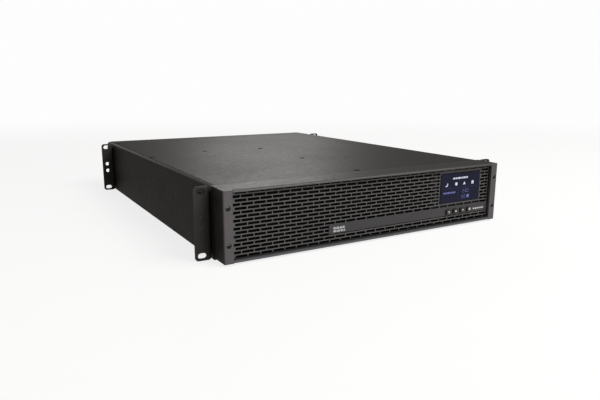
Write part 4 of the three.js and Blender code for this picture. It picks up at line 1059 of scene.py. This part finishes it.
for n, a in enumerate(OUT, 1):
    cz = (a[4] + a[5]) / 2
    cxs = [a[0] + 16 + 32 * k for k in range(3)]
    b = G().prism("y", rrect(a[0], a[1], a[4], a[5], 1.6, 4), fy, fy + 2.4)
    b = boolean(b, G().box(a[0] + 2.4, a[1] - 2.4, a[2], fy + 1.0, a[4] + 2.4, a[5] - 2.4), "UNION")
    rim = G()
    for cx in cxs:
        rim.prism("y", socket_outline(cx, cz, 3.4), fy + 1.2, fy + 3.2)
    b = boolean(b, rim, "UNION")
    rec = G()
    for cx in cxs:
        rec.prism("y", socket_outline(cx, cz, 2.0), fy - 11, fy + 8)
    b = boolean(b, rec)
    core = G()
    for cx in cxs:
        core.prism("y", socket_outline(cx, cz, -0.6), fy - 11.4, fy + 1.6)
    slots = G()
    for cx in cxs:
        for dx, dz in ((-6.6, -1.5), (6.6, -1.5), (0, 2.6)):
            slots.box(cx + dx - 1.2, cx + dx + 1.2, fy - 9, fy + 5, cz + dz - 2.7, cz + dz + 2.7)
    b.add(boolean(core, slots))
    make(f"outlet_block_{n}", b, "black", "chassis", 0.3, 2, (f"outlet_bank_{n}",))
    con = G()
    for cx in cxs:
        for dx, dz in ((-6.6, -1.5), (6.6, -1.5), (0, 2.6)):
            for s in (-1, 1):
                con.box(*sorted((cx + dx + s * 0.45, cx + dx + s * 0.95)), fy - 8.8, fy - 2.0, cz + dz - 2.2, cz + dz + 2.2)
    make(f"outlet_contacts_{n}", con, "brass", "chassis", 0.08)

a = INL
cx, cz = (a[0] + a[1]) / 2, (a[4] + a[5]) / 2
b = G().prism("y", rrect(a[0], a[1], a[4], a[5], 4, 5), fy, fy + 2.4)
b = boolean(b, G().box(a[0] + 4.4, a[1] - 4.4, a[2], fy + 1.0, a[4] + 3.4, a[5] - 3.4), "UNION")
b = boolean(b, G().prism("y", rrect(cx - 17, cx + 17, cz - 12, cz + 12, 4, 5), fy + 1.0, fy + 4), "UNION")
cutter = G().prism("y", rrect(cx - 14.5, cx + 14.5, cz - 9.5, cz + 9.5, 2.6, 5), fy - 14, fy + 8)
for s in (-1, 1):
    cutter.lathe("y", (cx + s * 20.6, fy + 2.4, cz), [(1.3, -1.9), (2.6, -0.4), (2.6, 1.0)], 24)
b = boolean(b, cutter)
make("inlet_socket", b, "black", "chassis", 0.3, 2, ("ac_inlet",))
g = G()
for dx, dz in ((-8, -2), (8, -2), (0, 3.4)):
    g.prism("z", [(cx + dx - 3, fy - 14.5), (cx + dx + 3, fy - 14.5), (cx + dx + 3, fy + 0.2), (cx + dx + 2.3, fy + 1), (cx + dx - 2.3, fy + 1), (cx + dx - 3, fy + 0.2)], cz + dz - 1.0, cz + dz + 1.0)
make("inlet_blades", g, "screwzinc", "chassis", 0.2)
g = G()
for s in (-1, 1):
    screw_head(g, "y", (cx + s * 20.6, fy + 2.35, cz), 2.5, 0.9, 1, "flat", 24, random.uniform(0, 1.5))
make("inlet_screws", g, "screwzinc", "chassis", 0)

# ------------------------------------------------------------------ resettable breakers
for n, (cx, cz) in enumerate(BC, 1):
    yb0 = BRK[n - 1][2]
    L = fy - yb0
    b = G().lathe("y", (cx, yb0, cz), [(4.4, 18), (4.4, L + 3.4), (4.9, L + 3.6), (6.2, L + 3.6), (6.8, L + 3.0), (6.8, L - 0.4), (7.4, L - 0.6), (7.4, 0.5), (6.9, 0), (4.4, 0)], 40, loop=True)
    b.add(boolean(G().prism("y", [(cx + 9.5 * math.cos(math.radians(30 + 60 * q)), cz + 9.5 * math.sin(math.radians(30 + 60 * q))) for q in range(6)], fy + 0.35, fy + 2.2), G().cyl("y", (cx, fy - 2, cz), 6.85, 8, 40)))
    b.add(G().lathe("y", (cx, fy, cz), [(6.9, 0), (9.6, 0), (9.6, 0.35), (6.9, 0.35)], 40, loop=True))
    make(f"breaker_barrel_{n}", b, "black", "chassis", 0.2, 2, (f"breaker_body_{n}",))
    a = cad(f"breaker_button_{n}")
    L = a[3] - a[2]
    b = G().lathe("y", (cx, a[2], cz), [(0.001, 0), (3.8, 0), (3.8, 1), (4.0, 1.2), (4.0, 2.8), (3.8, 3), (3.8, L - 0.7), (3.5, L - 0.2), (3.0, L), (2.2, L), (1.9, L - 0.25), (0.001, L - 0.35)], 36)
    make(f"breaker_push_{n}", b, "red", f"breaker_button_{n}", 0, 2, (f"breaker_button_{n}",), sharp=50)

# ------------------------------------------------------------------ communication sockets
a = COM
b = G().prism("y", rrect(a[0], a[1], a[4], a[5], 1.0, 3), fy, fy + 1.6)
b = boolean(b, G().box(a[0] + 2.4, a[1] - 2.4, a[2], fy + 0.8, a[4] + 2.4, a[5] - 2.4), "UNION")
dsub = lambda g_, q=0.0: [(-26 - q, 46 + q), (-25 - q, 37 - q), (-9 + q, 37 - q), (-8 + q, 46 + q)][::-1]
cutter = G()
cutter.box(-44, -32, fy - 11, fy + 4, 36.2, 46.8)
cutter.prism("y", dsub(0), fy - 6, fy + 4)
cutter.box(-2, 8, fy - 9, fy + 4, 37.6, 45.4)
cutter.box(13, 24, fy - 8, fy + 4, 36.6, 46.4)
make("comm_plate", boolean(b, cutter), "zinc", "chassis", 0.15, 2, ("comm_ports",))
b = G()  # black liners and inserts
for x0, x1, z0, z1 in ((-43.8, -32.2, 36.4, 37.2), (-43.8, -32.2, 45.6, 46.6), (-43.8, -43.0, 37.25, 45.55), (-33.0, -32.2, 37.25, 45.55)):
    b.box(x0, x1, fy - 10.5, fy + 1.4, z0, z1)
b.box(-43.8, -32.2, fy - 11.2, fy - 10.5, 36.4, 46.6)
ins = G().prism("y", [(-25.3, 45.3), (-24.4, 37.7), (-9.6, 37.7), (-8.7, 45.3)][::-1], fy - 5.5, fy + 1.0)
pins = G()
for k in range(5):
    pins.cyl("y", (-22.6 + k * 2.8, fy - 4, 43.2), 0.65, 9, 12)
for k in range(4):
    pins.cyl("y", (-21.2 + k * 2.8, fy - 4, 40.0), 0.65, 9, 12)
b.add(boolean(ins, pins))
b.box(0.4, 5.6, fy - 8.5, fy + 0.8, 40.0, 43.0)
make("comm_inserts", b, "black", "chassis", 0.12)
b = G()
for k in range(8):
    b.box(-42.3 + k * 1.16, -41.75 + k * 1.16, fy - 10.2, fy - 3.0, 44.3, 44.9)
for z in (40.0, 43.0):
    for x in (1.2, 4.0):
        b.box(x, x + 0.9, fy - 8.0, fy + 0.2, z - 0.12, z + 0.12)
make("comm_contacts", b, "brass", "chassis", 0)
ring_ = boolean(G().prism("y", dsub(0, 0.9), fy + 1.2, fy + 4.4), G().prism("y", dsub(0, 0.25), fy - 1, fy + 9))
b = G().add(ring_)
for x in (-29.0, -5.0):
    b.prism("y", [(x + 2.1 * math.cos(math.radians(60 * q)), 41.5 + 2.1 * math.sin(math.radians(60 * q))) for q in range(6)], fy + 1.6, fy + 4.6)
b.add(boolean(G().prism("y", rrect(-2.9, 8.9, 36.7, 46.3, 0.8, 3), fy + 1.4, fy + 2.3), G().box(-2, 8, fy, fy + 5, 37.6, 45.4)))
make("comm_shells", b, "screwzinc", "chassis", 0.15)
b = boolean(G().box(13.2, 23.8, fy - 7.5, fy + 2.6, 36.8, 46.2), G().box(14.4, 18.0, fy - 3, fy + 5, 38.0, 41.6).box(19.0, 22.6, fy - 3, fy + 5, 38.0, 41.6).cyl("y", (16.2, fy + 1.2, 44.0), 1.1, 5, 16).cyl("y", (20.8, fy + 1.2, 44.0), 1.1, 5, 16))
make("terminal_plug", b, "green", "chassis", 0.2)

# ------------------------------------------------------------------ card slot cover, battery socket, earth stud
a = SLT
b = G().prism("y", rrect(a[0], a[1], a[4], a[5], 1.4, 4), fy, fy + 1.2)
cutter = G()
for x in (a[0] + 4.5, a[1] - 4.5):
    cutter.cyl("y", (x, fy - 1, 67), 2.1, 4, 24)
for z in (60.5, 67, 73.5):
    cutter.prism("y", rrect(a[0] + 14, a[1] - 14, z - 0.6, z + 0.6, 0.55, 3), fy + 0.85, fy + 3)
make("slot_cover", boolean(b, cutter), "powder", "chassis", 0.25, 2, ("card_slot_cover",))
for nm, x in (("left", a[0] + 4.5), ("right", a[1] - 4.5)):
    n = cad(f"slot_screw_{nm}")
    b = G()
    prof = []
    yk = fy + 1.5
    seg = 40
    knurl = [(x + (4.0 if q % 2 else 3.75) * math.cos(2 * math.pi * q / seg), 67 + (4.0 if q % 2 else 3.75) * math.sin(2 * math.pi * q / seg)) for q in range(seg)]
    b.prism("y", knurl, yk + 0.5, n[3] - 0.8)
    b.lathe("y", (x, yk, 67), [(3.2, 0), (3.7, 0.5), (3.7, n[3] - yk - 0.8), (3.2, n[3] - yk)], 32)
    b.cyl("y", (x, n[2], 67), 1.7, yk - n[2] + 0.2, 18)
    b = boolean(b, G().box(x - 3.0, x + 3.0, n[3] - 0.9, n[3] + 2, 66.5, 67.5))
    make(f"thumb_screw_{nm}", b, "screwzinc", "chassis", 0.1, 2, (f"slot_screw_{nm}",))
a = EXP
b = G().prism("y", rrect(a[0], a[1], a[4], a[5], 2.0, 4), fy, fy + 2.4)
b = boolean(b, G().box(a[0] + 2.4, a[1] - 2.4, a[2], fy + 1.0, a[4] + 2.4, a[5] - 2.4), "UNION")
cutter = G()
for x0, x1 in ((-46, -27), (-23, -4)):
    cutter.prism("y", rrect(x0, x1, 11, 24, 1.6, 4), fy - 14, fy + 8)
make("battery_socket", boolean(b, cutter), "grey", "chassis", 0.35, 3, ("battery_expansion_port",))
b = G()
for x0, x1 in ((-43, -30), (-20, -7)):
    b.prism("x", [(fy - 13.5, 15.8), (fy - 4, 17.6), (fy - 2.6, 16.9), (fy - 2.2, 17.6), (fy - 3.6, 19.0), (fy - 13.5, 18.2)], x0, x1)
make("battery_socket_contacts", b, "brass", "chassis", 0.15)
x, z = STC
a = STU
b = G().lathe("y", (x, a[2], z), [(0.001, 0), (2.3, 0)] + [(2.5 if k % 2 else 2.2, 0.4 + k * 0.4) for k in range(int((a[3] - a[2] - 1.2) / 0.4))] + [(1.7, a[3] - a[2]), (0.001, a[3] - a[2])], 24)
b.add(boolean(G().prism("y", [(x + 5.1 * math.cos(math.radians(60 * q)), z + 5.1 * math.sin(math.radians(60 * q))) for q in range(6)], fy + 0.9, fy + 4.0), G().cyl("y", (x, fy - 2, z), 2.55, 9, 24)))
b.add(G().lathe("y", (x, fy, z), [(2.6, 0), (5.2, 0), (5.2, 0.8), (2.6, 0.8)], 32, loop=True))
make("earth_stud", b, "screwzinc", "chassis", 0.12, 2, ("ground_stud",), sharp=60)

# ------------------------------------------------------------------ battery drawer
T = 1.2
tr = G().box(tx0, tx1, ty0, ty1, tz0, tz1)
tr = boolean(tr, G().box(tx0 + T, tx1 - T, ty0 + T, ty1 - T, tz0 + T, 120))
tr = boolean(tr, G().prism("x", [(60, 120), (60, 54), (62, 49), (67, 46), (ty1 + 5, 46), (ty1 + 5, 120)], tx0 - 5, tx1 + 5))
tr = boolean(tr, G().prism("y", [(tx0 + 34, 20), (tx1 - 34, 20), (tx1 - 30, 24), (tx1 - 30, 120), (tx0 + 30, 120), (tx0 + 30, 24)], ty1 - 4, ty1 + 5))
cutter = G()
for k in range(3):
    for s in (-1, 1):
        c = (tx0 + tx1) / 2 + s * 48
        y = ty0 + 82 + k * 150
        cutter.prism("z", rrect(c - 26, c + 26, y - 12, y + 12, 11.9, 6), tz0 - 3, tz0 + 4)
tr = boolean(tr, cutter)
make("battery_drawer", tr, "zinc", "battery_pack", 0.18, 2, ("battery_tray",))
g = G()
for x in (tx0 + 8, tx1 - 8):
    for z in (9, 73):
        screw_head(g, "y", (x, ty0, z), 3.4, 1.6, -1, "pan", 24, random.uniform(0, 1.5))
make("drawer_screws", g, "screwzinc", "battery_pack", 0)

TABS = []
for n in range(1, 7):
    x0, x1, y0, y1, z0, z1 = cad(f"battery_{n}")
    s = 1 if n % 2 else -1
    outer = x0 if s > 0 else x1
    inner = outer + s * 94
    X = lambda a, b: sorted((outer + s * a, outer + s * b))
    b = G().box(*X(0, 81.2), y0, y1, z0, z1)
    make(f"battery_case_{n}", b, "battery", "battery_pack", 1.5, 3, (f"battery_{n}",))
    b = G().box(*X(70, 92.0), y0 + 1.3, y1 - 1.3, z0 + 1.3, z1 - 1.3)
    b.box(*X(81.9, 92.6), y0 + 0.3, y1 - 0.3, z0 + 0.3, z1 - 0.3)
    for k in range(6):  # vent caps under one strip
        yc = y0 + 25 + k * (y1 - y0 - 50) / 5
        b.cyl("x", (*((inner - s * 1.8,) if s > 0 else (inner,)), yc, (z0 + z1) / 2 - 6), 6.2, 1.6, 28)
    b.box(*X(92, 93.4), y0 + 16, y1 - 16, z0 + 13, z0 + 40)
    make(f"battery_lid_{n}", b, "batlid", "battery_pack", 0.4, 2)
    lab = G()
    lab.prism("z", [(p[0], p[1]) for p in rrect(X(14, 66)[0], X(14, 66)[1], y0 + 26, y1 - 26, 3, 4)], z1 - 0.1, z1 + 0.12)
    make(f"battery_label_{n}", lab, "grey", "battery_pack", 0)
    for q, yb in enumerate((y0 + 14, y1 - 20)):
        TABS.append((n, q, inner, s, yb + 3.15, z0 + 52))
g = G()
for n, q, inner, s, y, z in TABS:
    g.box(*sorted((inner - s * 1.6, inner + s * 0.1)), y - 5, y + 5, z - 6.5, z + 6.5)
make("terminal_pads", g, "batlid", "battery_pack", 0.3)
g = G()
for n, q, inner, s, y, z in TABS:
    g.box(*sorted((inner, inner + s * 0.8)), y - 3.15, y + 3.15, z - 4, z + 4)
make("terminal_tabs", g, "brass", "battery_pack", 0.15)
# wiring: two main leads, one short lead from each tab to the middle, boots over the tabs
hx0, hx1, hy0, hy1, hz0, hz1 = cad("battery_harness")
mid = (tx0 + tx1) / 2
hz = (hz0 + hz1) / 2
red, blk = G(), G()
for g, off in ((red, 1.75), (blk, -1.75)):
    g.tube(smooth_path([(-45 - off * 1.5, 34, 72.5), (-58 + off, 46 + off, hz), (-98 + off, 68 + off, hz), (mid + off, 118, hz), (mid + off, 210, hz + 0.2), (mid + off, 320, hz - 0.2), (mid + off, 430, hz), (mid + off, 437, hz - 2)], 10), 1.7, 14)
for k, (n, q, inner, s, y, z) in enumerate(TABS):
    g = red if q == 0 else blk
    g.box(*sorted((inner + s * 0.2, inner + s * 2.2)), y - 4.2, y + 4.2, z - 6, z + 5.6)
    g.tube(smooth_path([(inner + s * 1.2, y, z + 5), (inner + s * 1.4, y, z + 11), (mid - s * 0.3 if q else mid + s * 0.3, y + 2.0, hz - 3.4), (mid, y + 10, hz - 1.6)], 7), 1.15, 10)
for k in range(5):
    y = 130 + k * 72
    for g in (blk,):
        g.lathe("y", (mid, y, hz), [(4.6, 0), (4.6, 3.2), (3.9, 3.2), (3.9, 0)], 24, loop=True)
make("lead_positive", red, "red", "battery_pack", 0.2, 2, ("battery_harness",), sharp=55)
make("lead_negative", blk, "wireblack", "battery_pack", 0.2, 2, sharp=55)
# plug on the drawer's front
a = cad("battery_connector")
b = G().prism("y", rrect(a[0], a[1], a[4], a[5], 2.4, 5), a[2], a[3])
cutter = G()
for x0, x1 in ((a[0] + 3, a[0] + 20.5), (a[0] + 23.5, a[1] - 3)):
    cutter.prism("y", rrect(x0, x1, a[4] + 3, a[5] - 3, 1.8, 4), a[2] - 2, a[2] + 9)
for k in range(5):  # grip grooves
    y = a[2] + 7 + k * 1.9
    cutter.box(a[0] - 1, a[0] + 0.5, y, y + 0.9, a[4] + 3, a[5] - 3)
    cutter.box(a[1] - 0.5, a[1] + 1, y, y + 0.9, a[4] + 3, a[5] - 3)
make("battery_plug", boolean(b, cutter), "grey", "battery_pack", 0.35, 3, ("battery_connector",))
b = G()
for xc in (a[0] + 11.75, a[1] - 11.75):
    b.prism("x", [(a[2] + 9.4, 63.4), (a[2] + 3.4, 65.2), (a[2] + 2.2, 66.4), (a[2] + 3.0, 67.4), (a[2] + 9.4, 67.0)], xc - 5, xc + 5)
make("battery_plug_contacts", b, "brass", "battery_pack", 0.2)
# pull handle
a = cad("tray_handle")
xa, xb, zc = a[0] + 2.4, a[1] - 2.4, (a[4] + a[5]) / 2
yf, yr = a[2] + 2.4, a[3]
pts = [(xa, yr + 0.2, zc), (xa, yf + 8, zc)] + [(xa + 8 - 8 * math.cos(math.radians(q)), yf + 8 - 8 * math.sin(math.radians(q)), zc) for q in range(9, 90, 9)] + [(xa + 8, yf, zc), (xb - 8, yf, zc)]
pts += [(xb - 8 + 8 * math.sin(math.radians(q)), yf + 8 - 8 * math.cos(math.radians(q)), zc) for q in range(9, 90, 9)] + [(xb, yf + 8, zc), (xb, yr + 0.2, zc)]
b = G().tube(pts, 2.4, 20)
for x in (xa, xb):
    b.lathe("y", (x, yr, zc), [(2.3, 0), (4.6, 0), (4.6, -0.9), (3.9, -1.3), (2.3, -1.5)], 28, loop=True)
make("pull_handle", b, "brushed", "battery_pack", 0.1, 2, ("tray_handle",), sharp=50)

# ------------------------------------------------------------------ electronics
finish_node("main_board", "board", 0.12)
finish_node("inverter_heatsink", "alu", 0.2)
finish_node("rectifier_heatsink", "alu", 0.2)
mb = cad("main_board")
BT = mb[5] if mb[5] < 12 else 9.6
parts_black, parts_light, parts_metal = G(), G(), G()
for nm in ("inverter_heatsink", "rectifier_heatsink"):
    a = cad(nm)
    for k in range(int((a[3] - a[2] - 20) / 22)):
        y = a[2] + 12 + k * 22
        parts_black.box(a[0] - 5.4, a[0] - 0.4, y, y + 15.6, BT + 4, BT + 24)
        parts_metal.cyl("x", (a[0] - 5.9, y + 7.8, BT + 19.5), 2.4, 0.6, 16)
        for p in (-4.4, 0, 4.4):
            parts_metal.box(a[0] - 3.4, a[0] - 2.6, y + 7.3 + p, y + 8.4 + p, BT - 0.2, BT + 4.2)
for x, y, w, l, h in ((24, 250, 14, 28, 16), (24, 290, 14, 28, 16), (24, 330, 14, 28, 16), (24, 370, 14, 28, 16), (118, 200, 20, 15, 12), (176, 170, 26, 20, 14), (176, 200, 26, 20, 14), (118, 300, 9, 36, 3), (118, 350, 7, 18, 2.4), (118, 380, 7, 18, 2.4), (118, 420, 12, 12, 2), (24, 430, 10, 44, 10)):
    parts_black.box(x - w / 2, x + w / 2, y, y + l, BT + 0.1, BT + 0.1 + h)
for x, y, w, l, h in ((118, 240, 12, 30, 9), (188, 490, 22, 9, 11), (40, 490, 30, 9, 11), (110, 500, 30, 7, 9), (24, 480, 14, 8, 9), (155, 66, 38, 7, 8)):
    parts_light.box(x - w / 2, x + w / 2, y, y + l, BT + 0.1, BT + 0.1 + h)
for k in range(8):
    parts_black.lathe("z", (112 + (k % 2) * 14, 150 + (k // 2) * 11, BT + 0.1), [(0.001, 0), (4.9, 0), (4.9, 0.8), (4.6, 1.1), (4.6, 1.6), (4.9, 1.9), (4.9, 14.6), (4.4, 15.2), (3.8, 15.2), (3.6, 14.9), (0.001, 14.9)], 24)
for x, y in ((12, 70), (12, 290), (12, 510), (206, 70), (206, 290), (206, 510)):
    screw_head(parts_metal, "z", (x, y, BT), 3.2, 1.6, 1, "pan", 20, 0.4)
make("board_parts_dark", parts_black, "black", "chassis", 0.3)
make("board_parts_light", parts_light, "grey", "chassis", 0.3)
make("board_parts_metal", parts_metal, "screwzinc", "chassis", 0)

# toroidal choke
a = cad("filter_choke")
cx, cy, cz = (a[0] + a[1]) / 2, (a[2] + a[3]) / 2, (a[4] + a[5]) / 2
b = G().lathe("z", (cx, cy, cz), [(27 + 8.2 * math.cos(2 * math.pi * q / 16), 8.2 * math.sin(2 * math.pi * q / 16)) for q in range(16)], 56, loop=True)
b.box(cx - 24, cx + 24, cy - 24, cy + 24, BT + 0.1, BT + 1.6)
make("choke_core", b, "iron", "chassis", 0, 2, sharp=50)
turns = 34
pts = []
for q in range(turns * 12 + 1):
    u = 2 * math.pi * (q / (turns * 12)) * 0.94 + 0.2
    v = 2 * math.pi * q / 12
    r = 27 + 9.5 * math.cos(v)
    pts.append((cx + r * math.cos(u), cy + r * math.sin(u), cz + 9.5 * math.sin(v)))
b = G().tube(pts, 1.25, 6)
make("choke_winding", b, "copper", "chassis", 0, 2, ("filter_choke",), sharp=70)
# transformer: two lamination stacks around a wound bobbin
a = cad("output_transformer")
b = G()
for y0, y1 in ((a[2], a[2] + 12), (a[3] - 12, a[3])):
    n_ = 12
    for k in range(n_):
        ya, yb = y0 + (y1 - y0) * k / n_, y0 + (y1 - y0) * (k + 0.86) / n_
        b.box(a[0] + (0.0 if k % 2 else 0.15), a[1] - (0.0 if k % 2 else 0.15), ya, yb, a[4], a[5])
    b.box(a[0] + 0.5, a[1] - 0.5, y0 + 0.1, y1 - 0.1, a[4] + 0.4, a[5] - 0.4)
for x in (a[0] + 6, a[1] - 6):
    for z in (a[4] + 6, a[5] - 6):
        b.prism("y", [(x + 3.6 * math.cos(math.radians(60 * q)), z + 3.6 * math.sin(math.radians(60 * q))) for q in range(6)], a[2] - 2.2, a[2] + 0.1)
        b.cyl("y", (x, a[2], z), 2.0, a[3] - a[2] + 0.6, 16)
make("transformer_core", b, "iron", "chassis", 0.08, 1, ("output_transformer",))
rings = []
x0, x1, z0, z1 = a[0] + 10, a[1] - 10, a[4] + 8, a[5] - 8
N_ = 22
for k in range(N_ * 4 + 1):
    y = a[2] + 12.2 + (a[3] - a[2] - 24.4) * k / (N_ * 4)
    gr = -0.45 * (1 - abs(math.sin(math.pi * k / 4)))
    rings.append([(p[0], y, p[1]) for p in rrect(x0 - gr, x1 + gr, z0 - gr, z1 + gr, 6, 5)])
make("transformer_winding", G().loft(rings), "copper", "chassis", 0, 2, sharp=60)
for n in (1, 2):
    a = cad(f"bus_capacitor_{n}")
    cx, cy, h = (a[0] + a[1]) / 2, (a[2] + a[3]) / 2, a[5] - a[4]
    r = (a[3] - a[2]) / 2
    b = G().lathe("z", (cx, cy, a[4]), [(0.001, 0), (r - 0.6, 0), (r, 0.6), (r, 3.0), (r - 0.7, 3.8), (r - 0.7, 5.2), (r, 6.0), (r, h - 1.0), (r - 0.6, h - 0.2), (r - 1.6, h), (r - 2.0, h - 0.7), (0.001, h - 0.9)], 48)
    make(f"capacitor_can_{n}", b, "sleeve", "chassis", 0, 2, (f"bus_capacitor_{n}",), sharp=50)
    b = G().lathe("z", (cx, cy, a[4] + h - 1.1), [(0.001, 0), (r - 2.2, 0), (r - 2.2, 0.5), (0.001, 0.5)], 40)
    for s in (-1, 1):
        b.cyl("z", (cx + s * 6, cy, a[4] + h - 0.7), 3.2, 0.7, 20)
    make(f"capacitor_top_{n}", b, "grey", "chassis", 0.15)

# ------------------------------------------------------------------ stage, light and camera
def flat_object(name, pts):
    me = bpy.data.meshes.new(name)
    me.from_pydata([tuple(p) for p in pts], [], [tuple(range(len(pts)))])
    o = bpy.data.objects.new(name, me)
    bpy.context.scene.collection.objects.link(o)
    return o


floor = flat_object("floor", [(-12, -12, -0.0004), (12, -12, -0.0004), (12, 12, -0.0004), (-12, 12, -0.0004)])
fm, nt, p = nodes_of("pale_floor")
nt.nodes.remove(p)
out = [n for n in nt.nodes if n.type == "OUTPUT_MATERIAL"][0]
em = nt.nodes.new("ShaderNodeEmission")
em.inputs["Strength"].default_value = 0.80
em.inputs["Color"].default_value = (1, 1, 1, 1)
far = nt.nodes.new("ShaderNodeEmission")
far.inputs["Strength"].default_value = 0.985
far.inputs["Color"].default_value = (1, 1, 1, 1)
tc_ = nt.nodes.new("ShaderNodeTexCoord")
ln_ = nt.nodes.new("ShaderNodeVectorMath")
ln_.operation = "LENGTH"
link(nt, tc_.outputs["Object"], ln_.inputs[0])
fade = nt.nodes.new("ShaderNodeMapRange")
fade.interpolation_type = "SMOOTHSTEP"
fade.inputs["From Min"].default_value = 0.8
fade.inputs["From Max"].default_value = 2.6
link(nt, ln_.outputs["Value"], fade.inputs["Value"])
fmix = nt.nodes.new("ShaderNodeMixShader")
link(nt, fade.outputs["Result"], fmix.inputs[0])
df = nt.nodes.new("ShaderNodeBsdfDiffuse")
df.inputs["Color"].default_value = (0.30, 0.30, 0.30, 1)
ad = nt.nodes.new("ShaderNodeAddShader")
link(nt, em.outputs[0], ad.inputs[0])
link(nt, df.outputs[0], ad.inputs[1])
link(nt, ad.outputs[0], fmix.inputs[1])
link(nt, far.outputs[0], fmix.inputs[2])
link(nt, fmix.outputs[0], out.inputs[0])
floor.data.materials.append(fm)
floor.visible_diffuse = False
floor.visible_glossy = False

world = bpy.data.worlds.new("studio")
bpy.context.scene.world = world
world.use_nodes = True
wn = world.node_tree
wn.nodes.clear()
wo = wn.nodes.new("ShaderNodeOutputWorld")
bg1 = wn.nodes.new("ShaderNodeBackground")
bg2 = wn.nodes.new("ShaderNodeBackground")
lp = wn.nodes.new("ShaderNodeLightPath")
mx = wn.nodes.new("ShaderNodeMixShader")
bg1.inputs["Color"].default_value = (1.0, 0.975, 0.95, 1)
bg1.inputs["Strength"].default_value = 0.16
bg2.inputs["Color"].default_value = (0.985, 0.985, 0.985, 1)
bg2.inputs["Strength"].default_value = 1.0
wn.links.new(lp.outputs["Is Camera Ray"], mx.inputs[0])
wn.links.new(bg1.outputs[0], mx.inputs[1])
wn.links.new(bg2.outputs[0], mx.inputs[2])
wn.links.new(mx.outputs[0], wo.inputs[0])


def area(name, loc, target, size, power, size_y=None, color=(1, 1, 1)):
    d = bpy.data.lights.new(name, "AREA")
    d.energy = power
    d.color = color
    d.shape = "RECTANGLE"
    d.size = size
    d.size_y = size_y or size
    o = bpy.data.objects.new(name, d)
    bpy.context.scene.collection.objects.link(o)
    o.location = loc
    o.rotation_mode = "QUATERNION"
    o.rotation_quaternion = (Vector(target) - Vector(loc)).to_track_quat("-Z", "Y")
    o.visible_camera = False
    return o


area("key_top_front", (0.9, -1.6, 1.9), (0.05, -0.1, 0.04), 1.6, 34, 1.2, (1.0, 0.985, 0.96))
area("back_soft", (1.28, 2.53, 1.3), (0.0, 0.0, 0.05), 0.9, 7.3, 0.5, (1.0, 0.968, 0.935))
area("front_fill", (0.5, -2.6, 0.5), (0.0, -0.3, 0.04), 1.4, 14, 0.9, (1.0, 0.99, 0.98))

cam = bpy.data.cameras.new("camera")
cam.sensor_width = 36.0
cam.sensor_fit = "HORIZONTAL"
cam.lens = 33.08
camo = bpy.data.objects.new("camera", cam)
bpy.context.scene.collection.objects.link(camo)
yaw, pitch, roll = math.radians(30.525), math.radians(12.025), math.radians(0.154)
fw = Vector((math.cos(pitch) * math.sin(yaw), math.cos(pitch) * math.cos(yaw), -math.sin(pitch)))
rt = fw.cross(Vector((0, 0, 1))).normalized()
up = rt.cross(fw)
R2 = rt * math.cos(roll) + up * math.sin(roll)
U2 = -rt * math.sin(roll) + up * math.cos(roll)
mat = Matrix.Identity(4)
for i in range(3):
    mat[i][0], mat[i][1], mat[i][2] = R2[i], U2[i], -fw[i]
mat[0][3], mat[1][3], mat[2][3] = -0.44651, (-551.10 + YF) * MM, 0.20329
camo.matrix_world = mat
cam.clip_start, cam.clip_end = 0.01, 60
bpy.context.scene.camera = camo
bpy.context.scene.view_settings.view_transform = "Standard"
bpy.context.scene.view_settings.look = "None"
